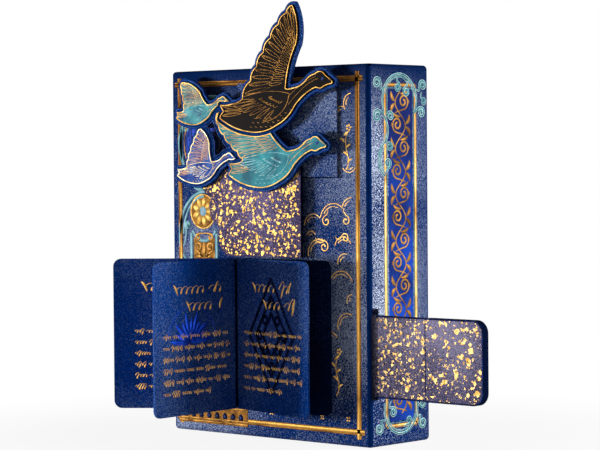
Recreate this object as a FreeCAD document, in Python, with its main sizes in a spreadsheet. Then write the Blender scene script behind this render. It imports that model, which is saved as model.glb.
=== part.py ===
import FreeCAD, Part
import math
import os
import re
import Sketcher

doc = FreeCAD.newDocument("playing_card_deck")

# Driving dimensions, in millimetres and degrees.
SIZES = {
    # playing cards
    "card_width": 63.0,
    "card_height": 88.0,
    "card_thick": 0.295,
    "card_air": 0.01,
    "card_corner": 3.2,
    "suit_count": 13,
    "joker_count": 2,
    # folded carton
    "board": 0.6,
    "lining": 0.5,
    "side_room": 1.15,
    "head_room": 1.0,
    "front_room": 0.65,
    "rear_room": 0.29,
    "pocket_depth": 3.0,
    "fold_radius": 1.0,
    "fit_gap": 0.2,
    "crease_gap": 0.05,
    "seam_width": 12.0,
    "seam_inset": 4.0,
    # lid, tongue and dust flaps
    "tongue_gap": 0.65,
    "tongue_length": 12.0,
    "tongue_room": 4.05,
    "tongue_corner": 7.0,
    "flap_length": 10.0,
    "flap_inset": 1.1,
    "flap_taper": 1.5,
    "flap_slope": 0.62,
    "bottom_flap_length": 20.0,
    # pull strip and its cam
    "strip_thick": 0.6,
    "strip_height": 19.8,
    "strip_bottom": 12.0,
    "strip_reach": 33.2,
    "strip_lift": 15.7,
    "strip_setback": 1.0,
    "strip_corner": 3.0,
    "cam_margin": 6.3,
    "cam_top_margin": 5.0,
    "stop_gap": 0.35,
    "rail_gap": 0.1,
    "rail_height": 2.2,
    "slot_side_gap": 0.3,
    "slot_top_gap": 1.5,
    "slot_bottom_gap": 0.6,
    "grip_length": 17.25,
    "grip_thick": 0.7,
    # rivet that couples the strip to the flock
    "pin_radius": 1.5,
    "pin_clear": 0.2,
    "rivet_head": 3.0,
    "rivet_head_thick": 0.35,
    "washer_radius": 3.2,
    "washer_thick": 0.4,
    "washer_fit": 0.02,
    "slide_gap": 0.15,
    # carriage plate behind the flock
    "plate_thick": 0.6,
    "plate_left": 9.0,
    "plate_right": 23.8,
    "plate_below": 3.35,
    "plate_height": 23.65,
    "plate_chamfer": 2.8,
    # raised bridge that guides the carriage
    "bridge_thick": 0.8,
    "bridge_rise": 1.5,
    "bridge_gap": 0.6,
    "bridge_drop": 1.0,
    "bridge_right": 13.3,
    "bridge_left_top": 20.2,
    "bridge_left_low": 11.2,
    "bridge_wave": 1.73,
    "bridge_pad_width": 2.6,
    "bridge_pad_inset": 0.6,
    # die-cut flock
    "flock_gap": 0.25,
    "flock_board": 0.9,
    "bird_thick": 0.4,
    "bird_margin": 0.9,
    "bird_gap": 0.7,
    "flock_pad_width": 5.0,
    "flock_pad_height": 3.4,
    "flock_pad_first": 13.5,
    "flock_pad_second": 22.0,
    "flock_pad_clear": 0.4,
    "dark_length": 37.7,
    "dark_left": 12.5,
    "dark_rise": 12.7,
    "teal_length": 32.5,
    "teal_left": 9.5,
    "teal_rise": -1.6,
    "pale_length": 18.5,
    "pale_left": 27.8,
    "pale_rise": 12.4,
    "white_length": 20.5,
    "white_left": 27.6,
    "white_rise": -2.2,
    # booklet on the front
    "leaf_width": 30.6,
    "leaf_height": 37.7,
    "leaf_thick": 0.5,
    "leaf_gap": 0.1,
    "leaf_corner": 2.0,
    "spine_offset": 9.6,
    "booklet_bottom": 6.9,
    "first_angle": 12.5,
    "second_angle": 74.0,
    "third_angle": 56.0,
}

# Sizes that follow from the driving dimensions.
DERIVED = {
    "card_pitch": "card_thick + card_air",
    "card_count": "4 * suit_count + joker_count",
    "deck_depth": "card_count * card_pitch - card_air",
    "case_width": "card_width + 2 * side_room + 2 * board",
    "case_height": "card_height + 5 * board + head_room",
    "case_depth": "3 * board + pocket_depth + lining + deck_depth + front_room + rear_room",
    "side": "case_width / 2",
    "inside": "side - board",
    "front": "-case_depth / 2",
    "back": "case_depth / 2",
    "front_inside": "front + board",
    "pocket_back": "front_inside + pocket_depth",
    "lining_back": "pocket_back + lining",
    "deck_front": "lining_back + front_room",
    "deck_bottom": "3 * board",
    "lid_bottom": "case_height - board",
    "lid_front": "front_inside + tongue_gap",
    "flap_bottom": "lid_bottom - crease_gap - board",
    "flap_front": "pocket_back + lining / 2",
    "flap_back": "back - flap_inset",
    "strip_front": "front_inside + strip_setback",
    "strip_back": "strip_front + strip_thick",
    "strip_left": "-inside + stop_gap + strip_travel",
    "strip_right": "inside - stop_gap",
    "strip_end": "side + strip_reach",
    "strip_travel": "inside - stop_gap - cam_margin",
    "strip_top": "lid_bottom - crease_gap - tongue_length - tongue_room - rail_height - rail_gap",
    "pin_height": "strip_top - cam_top_margin",
    "slot_bottom": "strip_bottom - slot_bottom_gap",
    "slot_front": "strip_front - grip_thick - slot_side_gap",
    "slot_depth": "strip_thick + 2 * grip_thick + 2 * slot_side_gap",
    "pin_hole": "pin_radius + pin_clear",
    "plate_bottom": "pin_height - plate_below",
    "plate_back": "front - slide_gap",
    "plate_front": "plate_back - plate_thick",
    "bridge_back": "front - bridge_rise",
    "bridge_front": "bridge_back - bridge_thick",
    "flock_back": "bridge_front - flock_gap",
    "flock_front": "flock_back - flock_board",
    "bridge_bottom": "booklet_bottom + leaf_height + bridge_gap",
    "bridge_top": "pin_height - bridge_drop",
    "bridge_height": "bridge_top - bridge_bottom",
    "leaf_pitch": "leaf_thick + leaf_gap",
    "spine_y": "front - leaf_pitch",
}

sheet = doc.addObject("Spreadsheet::Sheet", "Sizes")
for row, (alias, amount) in enumerate(SIZES.items(), start=1):
    sheet.set(f"A{row}", alias)
    sheet.set(f"B{row}", str(amount))
    sheet.setAlias(f"B{row}", alias)
doc.recompute()


def formula(text):
    """An expression on the sheet, with each derived size written out."""
    def spell(match):
        word = match.group()
        if word in DERIVED:
            return "(" + formula(DERIVED[word]) + ")"
        return "Sizes." + word if word in SIZES else word
    return re.sub(r"[a-z][a-z_]*", spell, str(text))


def number(text):
    """The present value of an expression on the sheet."""
    return float(sheet.evalExpression(formula(text)))


def bind(item, **sizes):
    """Bind properties of an object to expressions on the sheet."""
    for name, text in sizes.items():
        item.setExpression(name.replace("__", "."), formula(text))


def place(item, x, y, z):
    """Bind the place of an object to expressions on the sheet."""
    bind(item, Placement__Base__x=x, Placement__Base__y=y, Placement__Base__z=z)


def block(label, start, extent):
    """A plain board or spacer, from its lowest corner and its three lengths."""
    made = doc.addObject("Part::Box", label)
    bind(made, Length=extent[0], Width=extent[1], Height=extent[2])
    place(made, *start)
    return made


def cylinder(label, radius, length, start):
    """A round piece along Y, running from its start towards the back."""
    made = doc.addObject("Part::Cylinder", label)
    made.Placement.Rotation = FreeCAD.Rotation(FreeCAD.Vector(1, 0, 0), -90)
    bind(made, Radius=radius, Height=length)
    place(made, *start)
    return made


def join(label, items):
    made = doc.addObject("Part::MultiFuse", label)
    made.Shapes = items
    return made


def cut(label, base, tool):
    made = doc.addObject("Part::Cut", label)
    made.Base = base
    made.Tool = tool
    return made


def common(label, base, tool):
    made = doc.addObject("Part::Common", label)
    made.Base = base
    made.Tool = tool
    return made


def sketch_on(body, role, label):
    made = body.newObject("Sketcher::SketchObject", label)
    plane = next(item for item in body.Origin.OriginFeatures if item.Role == role)
    made.AttachmentSupport = (plane, [""])
    made.MapMode = "FlatFace"
    return made


def polygon(sketch, corners):
    """A closed outline whose corners stand at expressions on the sheet."""
    spots = [FreeCAD.Vector(number(x), number(y), 0) for x, y in corners]
    count = len(spots)
    for index in range(count):
        sketch.addGeometry(Part.LineSegment(spots[index], spots[(index + 1) % count]), False)
    for index in range(count):
        sketch.addConstraint(Sketcher.Constraint("Coincident", index, 2, (index + 1) % count, 1))
    for index, corner in enumerate(corners):
        for kind, text in zip(("DistanceX", "DistanceY"), corner):
            made = Sketcher.Constraint(kind, -1, 1, index, 1, number(text))
            bind(sketch, **{f"Constraints[{sketch.addConstraint(made)}]": text})


def slot(sketch, start, end, radius):
    """A round-ended slot between two centres."""
    first = FreeCAD.Vector(number(start[0]), number(start[1]), 0)
    last = FreeCAD.Vector(number(end[0]), number(end[1]), 0)
    turn = math.atan2(last.y - first.y, last.x - first.x)
    reach = number(radius)
    across = FreeCAD.Vector(-math.sin(turn), math.cos(turn), 0) * reach
    up = FreeCAD.Vector(0, 0, 1)
    quarter = math.pi / 2
    sketch.addGeometry([
        Part.ArcOfCircle(Part.Circle(first, up, reach), turn + quarter, turn + 3 * quarter),
        Part.LineSegment(first - across, last - across),
        Part.ArcOfCircle(Part.Circle(last, up, reach), turn - quarter, turn + quarter),
        Part.LineSegment(last + across, first + across),
    ], False)
    for index in range(4):
        sketch.addConstraint(Sketcher.Constraint("Tangent", index, 2, (index + 1) % 4, 1))
    sketch.addConstraint(Sketcher.Constraint("Equal", 0, 2))
    bind(sketch, **{f"Constraints[{sketch.addConstraint(Sketcher.Constraint('Radius', 0, reach))}]": radius})
    for arc, centre in ((0, start), (2, end)):
        for kind, text in zip(("DistanceX", "DistanceY"), centre):
            made = Sketcher.Constraint(kind, -1, 1, arc, 3, number(text))
            bind(sketch, **{f"Constraints[{sketch.addConstraint(made)}]": text})


def plate(label, role, corners, thick):
    """A board padded from a closed outline on one of its own origin planes."""
    body = doc.addObject("PartDesign::Body", label)
    sketch = sketch_on(body, role, label + "_outline")
    polygon(sketch, corners)
    pad = body.newObject("PartDesign::Pad", label + "_pad")
    pad.Profile = sketch
    bind(pad, Length=thick)
    doc.recompute()
    return body


def oblong(width, height):
    return [("0", "0"), (width, "0"), (width, height), ("0", height)]


def rounded(body, radius, axes, keep=None):
    """Round the edges of a board that run along any of the axes and that keep accepts."""
    base = body.Tip
    chosen = []
    for index, edge in enumerate(base.Shape.Edges, start=1):
        along = edge.tangentAt(edge.FirstParameter)
        straight = any(abs(abs(getattr(along, axis)) - 1) < 1e-6 for axis in axes)
        if straight and (keep is None or keep(edge.CenterOfMass)):
            chosen.append(f"Edge{index}")
    made = body.newObject("PartDesign::Fillet", body.Name + "_rounds")
    made.Base = (base, chosen)
    bind(made, Radius=radius)
    doc.recompute()
    return body


pieces = {}

# Carton: a folded tube, mitred at its folds into four panels; every outer edge of the case is rounded.
case_outside = plate("case_outside", "XY_Plane", oblong("case_width", "case_depth"), "case_height")
rounded(case_outside, "fold_radius", "xyz")
place(case_outside, "-side", "front", "0")
inner_width = "case_width - 2 * board"
inner_depth = "case_depth - 2 * board"
tube_inside = plate("tube_inside", "XY_Plane", oblong(inner_width, inner_depth), "case_height")
rounded(tube_inside, "fold_radius - board", "z")
place(tube_inside, "-inside", "front_inside", "0")
tube = cut("tube", case_outside, tube_inside)

MITRE = "3 * fold_radius"


def sector(label, half, outer, turn):
    """The wedge of the tube that belongs to one panel."""
    made = doc.addObject("Part::Wedge", label)
    made.Placement.Rotation = FreeCAD.Rotation(FreeCAD.Vector(0, 0, 1), turn)
    bind(made, Xmin=f"-({half})", Xmax=half, X2min=f"{MITRE} - ({half})", X2max=f"({half}) - {MITRE}")
    bind(made, Ymin=f"-({outer})", Ymax=f"{MITRE} - ({outer})")
    bind(made, Zmin="0", Zmax="case_height", Z2min="0", Z2max="case_height")
    return made


def panel(label, half, outer, turn):
    return common(label, tube, sector(label + "_sector", half, outer, turn))


front_whole = panel("front_whole", "side", "back", 0)
right_whole = panel("right_whole", "back", "side", 90)
back_whole = panel("back_whole", "side", "back", 180)
left_whole = panel("left_whole", "back", "side", 270)

pin_slot = block(
    "pin_slot",
    ("-pin_hole", "front", "pin_height - strip_lift - pin_hole"),
    ("2 * pin_hole", "board", "strip_lift + 2 * pin_hole"),
)
pieces["front_panel"] = cut("front_panel", front_whole, pin_slot)

rim = block(
    "rim",
    ("-side", "front", "lid_bottom - crease_gap"),
    ("case_width", "case_depth", "board + crease_gap"),
)
pieces["back_panel"] = cut("back_panel", back_whole, rim)


def flap_notch(label, start):
    """Room in a side panel for its dust flap to fold over."""
    return block(
        label,
        (start, "flap_front - fit_gap", "flap_bottom - crease_gap"),
        ("board", "flap_back - flap_front + 2 * fit_gap", "2 * board + 2 * crease_gap"),
    )


left_openings = join("left_openings", [rim, flap_notch("left_notch", "-side")])
pieces["left_side_panel"] = cut("left_side_panel", left_whole, left_openings)

strip_slot = block(
    "strip_slot",
    ("side - fold_radius", "slot_front", "slot_bottom"),
    ("fold_radius", "slot_depth", "strip_height + slot_bottom_gap + slot_top_gap"),
)
right_openings = join("right_openings", [rim, flap_notch("right_notch", "inside"), strip_slot])
pieces["right_side_panel"] = cut("right_side_panel", right_whole, right_openings)

pieces["seam_flap"] = block(
    "seam_flap",
    ("fit_gap - inside + fold_radius", "back - 2 * board", "deck_bottom + seam_inset"),
    ("seam_width", "board", "card_height - 2 * seam_inset"),
)

# Bottom closure: outer flap, two dust flaps, inner flap.
floor_width = "2 * inside - 2 * fit_gap"
floor_depth = "case_depth - 2 * board - 2 * fit_gap"
floor_start = ("fit_gap - inside", "front_inside + fit_gap")
pieces["bottom_outer_flap"] = block(
    "bottom_outer_flap", (*floor_start, "0"), (floor_width, floor_depth, "board"))
pieces["bottom_dust_flap_left"] = block(
    "bottom_dust_flap_left", (*floor_start, "board"), ("bottom_flap_length", floor_depth, "board"))
pieces["bottom_dust_flap_right"] = block(
    "bottom_dust_flap_right",
    ("inside - fit_gap - bottom_flap_length", floor_start[1], "board"),
    ("bottom_flap_length", floor_depth, "board"),
)
pieces["bottom_inner_flap"] = block(
    "bottom_inner_flap", (*floor_start, "2 * board"), (floor_width, floor_depth, "board"))

# Pocket behind the front panel: inner wall and the two rails of the pull strip.
pieces["pocket_wall"] = block(
    "pocket_wall",
    ("fit_gap - inside", "pocket_back", "deck_bottom"),
    (floor_width, "lining", "flap_bottom - deck_bottom - fit_gap"),
)
pieces["lower_rail"] = block(
    "lower_rail",
    ("fit_gap - inside + fold_radius", "front_inside", "deck_bottom"),
    ("2 * inside - 2 * fit_gap - 2 * fold_radius", "pocket_depth", "strip_bottom - rail_gap - deck_bottom"),
)
pieces["upper_rail"] = block(
    "upper_rail",
    ("fit_gap - inside + fold_radius", "front_inside", "strip_top + rail_gap"),
    ("2 * inside - 2 * fit_gap - 2 * fold_radius", "pocket_depth", "rail_height"),
)

# Lid with its tongue, and the two dust flaps.
lid_blank = block(
    "lid_blank", ("-side", "lid_front", "lid_bottom"), ("case_width", "back - lid_front", "board"))
pieces["lid_panel"] = common("lid_panel", lid_blank, case_outside)

tongue_width = "2 * (side - flap_length - flap_inset / 3)"
lid_tongue = plate("lid_tongue", "XZ_Plane", oblong(tongue_width, "tongue_length"), "board")
rounded(lid_tongue, "tongue_corner", "y", lambda spot: spot.z < number("board"))
place(lid_tongue, f"-({tongue_width}) / 2", "lid_front + board", "lid_bottom - crease_gap - tongue_length")
pieces["lid_tongue"] = lid_tongue

for name, sign in (("left", 1), ("right", -1)):
    flap = plate(f"dust_flap_{name}_blank", "XY_Plane", [
        ("0", "flap_front"),
        (f"{sign} * flap_length", "flap_front + flap_taper"),
        (f"{sign} * flap_length", "flap_back - flap_slope * flap_length"),
        ("0", "flap_back"),
    ][::sign], "board")
    place(flap, f"-{sign} * side", "0", "flap_bottom")
    pieces[f"dust_flap_{name}"] = common(f"dust_flap_{name}", flap, case_outside)

# Cards: one rounded card, repeated through the deck.
card = plate("card", "XZ_Plane", oblong("card_width", "card_height"), "card_thick")
rounded(card, "card_corner", "y")


def suit(label, first, count):
    """A run of cards, each a solid of its own."""
    cards = []
    for index in range(count):
        one = card.Shape.copy()
        level = number("deck_front + card_thick") + (first + index) * number("card_pitch")
        one.translate(FreeCAD.Vector(-number("card_width") / 2, level, number("deck_bottom")))
        cards.append(one)
    made = doc.addObject("Part::Feature", label)
    made.Shape = Part.makeCompound(cards)
    return made


per_suit = int(number("suit_count"))
for order, name in enumerate(("spade", "heart", "club", "diamond")):
    pieces[f"{name}_cards"] = suit(f"{name}_cards", order * per_suit, per_suit)
pieces["joker_cards"] = suit("joker_cards", 4 * per_suit, int(number("joker_count")))

# Pull strip: an arm through the side slot and a riser with the slanting cam slot.
pull_strip = plate("pull_strip", "XZ_Plane", [
    ("strip_left", "strip_bottom"),
    ("strip_end", "strip_bottom"),
    ("strip_end", "strip_bottom + strip_height"),
    ("strip_right", "strip_bottom + strip_height"),
    ("strip_right", "strip_top"),
    ("strip_left", "strip_top"),
], "strip_thick")
rounded(pull_strip, "strip_corner", "y", lambda spot: spot.x > number("side"))
cam_slot = sketch_on(pull_strip, "XZ_Plane", "cam_slot")
slot(cam_slot, ("0", "pin_height"), ("strip_travel", "pin_height - strip_lift"), "pin_hole")
cam_pocket = pull_strip.newObject("PartDesign::Pocket", "cam_pocket")
cam_pocket.Profile = cam_slot
cam_pocket.Type = "ThroughAll"
cam_pocket.Midplane = True
place(pull_strip, "0", "strip_back", "0")
pieces["pull_strip"] = pull_strip

for name, level in (("front", "strip_front"), ("back", "strip_back + grip_thick")):
    grip = plate(f"grip_{name}", "XZ_Plane", oblong("grip_length", "strip_height"), "grip_thick")
    rounded(grip, "strip_corner", "y")
    place(grip, "strip_end - grip_length", level, "strip_bottom")
    pieces[f"grip_{name}"] = grip

# Carriage plate with the rivet that follows the cam slot.
plate_blank = plate("plate_blank", "XZ_Plane", [
    ("-plate_left", "plate_bottom"),
    ("plate_right", "plate_bottom"),
    ("plate_right", "plate_bottom + plate_height - plate_chamfer"),
    ("plate_right - plate_chamfer", "plate_bottom + plate_height"),
    ("-plate_left", "plate_bottom + plate_height"),
], "plate_thick")
place(plate_blank, "0", "plate_back", "0")
rivet_hole = cylinder(
    "rivet_hole", "pin_radius + washer_fit", "plate_thick", ("0", "plate_front", "pin_height"))
pieces["carriage_plate"] = cut("carriage_plate", plate_blank, rivet_hole)

WASHER_FRONT = "strip_back + slide_gap"
rivet_disc = cylinder(
    "rivet_disc", "rivet_head", "rivet_head_thick", ("0", "plate_front - rivet_head_thick", "pin_height"))
rivet_shank = cylinder(
    "rivet_shank",
    "pin_radius",
    f"{WASHER_FRONT} + washer_thick - plate_front + rivet_head_thick",
    ("0", "plate_front - rivet_head_thick", "pin_height"),
)
pieces["cam_rivet"] = join("cam_rivet", [rivet_disc, rivet_shank])
washer_disc = cylinder("washer_disc", "washer_radius", "washer_thick", ("0", WASHER_FRONT, "pin_height"))
washer_hole = cylinder(
    "washer_hole", "pin_radius + washer_fit", "washer_thick", ("0", WASHER_FRONT, "pin_height"))
pieces["rivet_washer"] = cut("rivet_washer", washer_disc, washer_hole)

# Bridge over the carriage: a board with a waved left edge on two spacer strips.


def curve_edges(points, size=1.0, origin=(0.0, 0.0)):
    """Lines and arcs through points in the XZ plane; each point gives the bulge of its next edge."""
    edges = []
    for index, (x, z, bulge) in enumerate(points):
        far_x, far_z, _ = points[(index + 1) % len(points)]
        start = FreeCAD.Vector(origin[0] + size * x, 0, origin[1] + size * z)
        end = FreeCAD.Vector(origin[0] + size * far_x, 0, origin[1] + size * far_z)
        if bulge == 0:
            edges.append(Part.LineSegment(start, end).toShape())
            continue
        run = end - start
        middle = (start + end) / 2 + FreeCAD.Vector(run.z, 0, -run.x) * bulge
        edges.append(Part.Arc(start, middle, end).toShape())
    return edges


def face(label, edges):
    made = doc.addObject("Part::Feature", label)
    made.Shape = Part.Face(Part.Wire(edges))
    return made


def thicken(label, source, thick, level):
    """A board of a given thickness, its back face at a level."""
    made = doc.addObject("Part::Extrusion", label)
    made.Base = source
    made.DirMode = "Custom"
    made.Dir = FreeCAD.Vector(0, -1, 0)
    made.Solid = True
    bind(made, LengthFwd=thick)
    place(made, "0", level, "0")
    return made


low = number("bridge_bottom")
high = number("bridge_top")
left_low = -number("bridge_left_low")
left_top = -number("bridge_left_top")
wave = number("bridge_wave") / math.hypot(left_low - left_top, high - low) * 3
bridge_outline = face("bridge_outline", curve_edges([
    (left_low, low, 0),
    (number("bridge_right"), low, 0),
    (number("bridge_right"), high, 0),
    (left_top, high, wave),
    (left_top + (left_low - left_top) / 3, high - (high - low) / 3, wave),
    (left_top + (left_low - left_top) * 2 / 3, high - (high - low) * 2 / 3, wave),
]))
pieces["spatter_bridge"] = thicken("spatter_bridge", bridge_outline, "bridge_thick", "bridge_back")
pieces["bridge_spacer_side"] = block(
    "bridge_spacer_side",
    (
        "-plate_left - bridge_pad_inset - bridge_pad_width",
        "bridge_back",
        "bridge_bottom + bridge_height / 3",
    ),
    ("bridge_pad_width", "bridge_rise", "2 * bridge_height / 3 - bridge_pad_inset"),
)
pieces["bridge_spacer_base"] = block(
    "bridge_spacer_base",
    ("-plate_left", "bridge_back", "bridge_bottom + bridge_pad_inset"),
    ("plate_left + bridge_right - 2 * bridge_pad_inset", "bridge_rise", "bridge_pad_width"),
)

# Flock: four geese of one body outline and different wings, on a die-cut board.
GOOSE_FRONT = [
    (0.00, -0.030, 0.06),
    (0.27, -0.125, 0.08),
    (0.52, -0.085, 0.08),
    (0.68, 0.040, -0.06),
    (0.86, 0.152, 0.10),
    (0.91, 0.146, -0.06),
    (0.99, 0.170, 0.25),
    (1.00, 0.195, 0.00),
    (0.94, 0.236, 0.22),
    (0.85, 0.244, 0.10),
    (0.77, 0.204, -0.08),
    (0.66, 0.160, -0.05),
]
GOOSE_TAIL = [
    (0.12, 0.070, -0.05),
    (0.01, 0.065, 0.10),
    (0.035, 0.018, 0.10),
]


def wing(root, bend, tip, feathers):
    """Leading edge through a bend to the tip, then scalloped feather ends back to the body."""
    scallops = [(x, z, 0.16) for x, z in feathers[:-1]]
    return [(*root, -0.06), (*bend, 0.10), (*tip, 0.20), *scallops, (*feathers[-1], -0.08)]


RAISED_WING = wing((0.60, 0.155), (0.695, 0.440), (0.664, 0.690), [
    (0.605, 0.643), (0.535, 0.572), (0.465, 0.487), (0.400, 0.396), (0.340, 0.305), (0.285, 0.213),
    (0.21, 0.100)])
SWEPT_WING = wing((0.60, 0.155), (0.40, 0.350), (-0.12, 0.450), [
    (-0.105, 0.350), (-0.045, 0.275), (0.025, 0.205), (0.095, 0.150), (0.15, 0.090)])
HIGH_WING = wing((0.60, 0.155), (0.57, 0.370), (0.42, 0.560), [
    (0.345, 0.480), (0.285, 0.385), (0.235, 0.285), (0.195, 0.190), (0.17, 0.095)])
LOW_WING = wing((0.60, 0.155), (0.47, 0.320), (0.12, 0.470), [
    (0.105, 0.365), (0.130, 0.270), (0.155, 0.180), (0.15, 0.090)])

BIRDS = {
    "dark_bird": ("dark_length", "dark_left", "dark_rise", RAISED_WING),
    "teal_bird": ("teal_length", "teal_left", "teal_rise", SWEPT_WING),
    "pale_bird": ("pale_length", "pale_left", "pale_rise", LOW_WING),
    "white_bird": ("white_length", "white_left", "white_rise", HIGH_WING),
}


def grown(label, source, margin):
    made = doc.addObject("Part::Offset2D", label)
    made.Source = source
    bind(made, Value=margin)
    return made


margins = []
shields = []
for name, (length, left, rise, feathers) in BIRDS.items():
    tail = (-number(left), number("pin_height") + number(rise))
    outline = face(f"{name}_outline", curve_edges(GOOSE_FRONT + feathers + GOOSE_TAIL, number(length), tail))
    margins.append(thicken(f"{name}_margin", grown(f"{name}_grown", outline, "bird_margin"),
                           "flock_board", "flock_back"))
    bird = thicken(f"{name}_whole", outline, "bird_thick", "flock_front")
    if shields:
        in_front = join(f"{name}_in_front", list(shields)) if len(shields) > 1 else shields[0]
        bird = cut(f"{name}_seen", bird, in_front)
    bird.Label = name
    pieces[name] = bird
    shields.append(thicken(f"{name}_shield", grown(f"{name}_gap", outline, "bird_gap"),
                           "bird_thick", "flock_front"))
pieces["flock_board"] = join("flock_board", margins)

for name, start in (("left", "flock_pad_first"), ("right", "flock_pad_second")):
    pieces[f"flock_spacer_{name}"] = block(
        f"flock_spacer_{name}",
        (f"{start} - dark_left", "flock_back", "bridge_top + strip_lift + flock_pad_clear"),
        ("flock_pad_width", "plate_front - flock_back", "flock_pad_height"),
    )

# Booklet: a base leaf on the front panel and three leaves, each hinged on the one below.


def leaf(label):
    made = plate(label, "XZ_Plane", oblong("leaf_width", "leaf_height"), "leaf_thick")
    rounded(made, "leaf_corner", "y", lambda spot: spot.x > number("leaf_corner"))
    return made


base_leaf = leaf("booklet_base_leaf")
place(base_leaf, "-spine_offset", "front", "booklet_bottom")
pieces["booklet_base_leaf"] = base_leaf

axis_x = "-spine_offset"
axis_y = "spine_y"
angle = "0"
for name in ("first", "second", "third"):
    turned = leaf(f"booklet_{name}_leaf")
    angle = f"{angle} + {name}_angle"
    turned.Placement.Rotation = FreeCAD.Rotation(FreeCAD.Vector(0, 0, -1), 1)
    bind(turned, Placement__Rotation__Angle=f"({angle}) * 1 deg")
    place(turned, axis_x, axis_y, "booklet_bottom")
    pieces[f"booklet_{name}_leaf"] = turned
    axis_x = f"{axis_x} - leaf_pitch * sin(({angle}) * 1 deg)"
    axis_y = f"{axis_y} - leaf_pitch * cos(({angle}) * 1 deg)"

doc.recompute()
os.makedirs("parts", exist_ok=True)
for name, item in pieces.items():
    item.Label = name
    if "Invalid" in item.State or "Error" in item.State:
        raise RuntimeError(f"{name} did not build: {item.State}")
    if item.Shape.isNull() or not item.Shape.isValid():
        raise RuntimeError(f"{name} has no valid shape")
    item.Shape.exportStep(f"parts/{name}.step")
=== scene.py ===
"""Looks of a deck of playing cards in a mechanical tuck case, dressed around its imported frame."""

import itertools
import math
import random

import bmesh
import bpy
from mathutils import Matrix, Vector


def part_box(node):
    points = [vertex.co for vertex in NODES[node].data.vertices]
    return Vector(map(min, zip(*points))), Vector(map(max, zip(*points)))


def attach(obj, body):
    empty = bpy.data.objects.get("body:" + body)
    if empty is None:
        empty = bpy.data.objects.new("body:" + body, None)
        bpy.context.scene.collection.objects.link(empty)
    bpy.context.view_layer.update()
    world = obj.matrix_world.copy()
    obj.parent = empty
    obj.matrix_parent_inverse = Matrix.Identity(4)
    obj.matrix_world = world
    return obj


bl_info = {
    "name": "Card Deck Case Looks",
    "version": (1, 0, 0),
    "blender": (4, 5, 0),
    "location": "3D View > Sidebar > Deck",
    "description": "Papers, foil ornament, flecks, birds and pages of a mechanical card case",
    "category": "Object",
}

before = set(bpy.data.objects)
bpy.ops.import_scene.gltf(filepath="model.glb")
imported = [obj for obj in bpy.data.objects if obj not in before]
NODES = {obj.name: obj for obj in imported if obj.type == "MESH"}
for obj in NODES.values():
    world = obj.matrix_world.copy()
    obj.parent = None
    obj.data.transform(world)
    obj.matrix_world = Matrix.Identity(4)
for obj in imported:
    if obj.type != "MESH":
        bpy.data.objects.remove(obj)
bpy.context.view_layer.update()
MM = 0.001
ACROSS, DEPTH, UP = Vector((1, 0, 0)), Vector((0, 1, 0)), Vector((0, 0, 1))

FRONT_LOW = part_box("front_panel")[0]
SIDE_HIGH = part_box("right_side_panel")[1]
BACK_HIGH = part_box("back_panel")[1]
LID_LOW, LID_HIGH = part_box("lid_panel")
HALF_WIDTH = SIDE_HIGH.x / MM
HALF_DEPTH = BACK_HIGH.y / MM
CASE_TOP = LID_HIGH.z / MM


def linear(hex_colour):
    """Linear colour of an sRGB hex value."""
    parts = [int(hex_colour[i:i + 2], 16) / 255 for i in (0, 2, 4)]
    return tuple(p / 12.92 if p <= 0.04045 else ((p + 0.055) / 1.055) ** 2.4 for p in parts)


def colour(name, hex_colour, description):
    return bpy.props.FloatVectorProperty(
        name=name, description=description, subtype="COLOR", size=3, min=0, max=1, default=linear(hex_colour))


def length(name, millimetres, description):
    return bpy.props.FloatProperty(
        name=name, description=description, unit="LENGTH", min=0, precision=5, default=millimetres * MM)


def view_angle(name, degrees, description):
    return bpy.props.FloatProperty(
        name=name, description=description, subtype="ANGLE", default=math.radians(degrees))


class DeckPapers(bpy.types.PropertyGroup):
    """Printed papers and boards."""
    carton: colour("Carton", "0C3070", "Pearl paper of the case")
    leaf: colour("Leaves", "0A46A0", "Pearl paper of the booklet")
    spatter: colour("Spatter board", "443A58", "Grey-violet paper under the gold flecks")
    plate: colour("Carriage plate", "1A3A78", "Paper of the plate behind the flock")
    mica: colour("Mica", "B0BACC", "Flakes of mica in the pearl papers")
    margin: colour("Flock margin", "0C3474", "Print round the birds")
    greyboard: colour("Greyboard", "8C8A84", "Unprinted inner board")
    card: colour("Card", "EDE8DC", "Coated card stock")
    grain: length("Paper grain", 0.16, "Width of one mica flake, drawn coarse enough to show")
    fibre: length("Paper fibre", 1.6, "Size of the soft clouding in the papers")
    drift: length("Mica drift", 22.0, "Size of the areas where the mica lies thicker")
    # The stripe at each upright fold is painted shade: the case paper has no mica there.
    fold: length("Fold", 1.0, "Width of the smooth stripe on each side of an upright fold")


class DeckFoils(bpy.types.PropertyGroup):
    """Hot-stamped foils."""
    gold: colour("Gold", "DDAE5C", "Gold foil of borders, birds and pages")
    # Dark tone of the worn patches in the gold foil, and the colour of the painted shade line beside each
    # border.
    old_gold: colour("Old gold", "8F6326", "Darker gold in the hollows of the lines")
    teal: colour("Teal", "5C848C", "Teal foil of rings, scrolls and a bird")
    blue: colour("Blue", "0A3184", "Blue foil of bands and discs")
    line: length("Border line", 1.25, "Width of a border line")
    fine: length("Fine line", 0.30, "Width of drawn ornament")
    raised: length("Foil height", 0.06, "Height of a stamped line above the paper")


class DeckStage(bpy.types.PropertyGroup):
    """Camera and floor."""
    turn: view_angle("Turn", 42.09, "Angle of the view from the front")
    tilt: view_angle("Tilt", 1.57, "Angle of the view above level")
    roll: view_angle("Roll", -0.44, "Lean of the camera")
    distance: length("Distance", 580.8, "Camera to the middle of the case")
    aim_across: length("Aim across", 0.72, "Sideways place that the view is centred on")
    aim_height: length("Aim height", 52.74, "Height that the view is centred on")
    lens: bpy.props.FloatProperty(name="Lens", description="Focal length in millimetres", default=138.58)
    floor: colour("Floor", "F4F4F2", "Pale floor")


def settings(group):
    return getattr(bpy.context.scene, group)


# Nodes and materials

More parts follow.
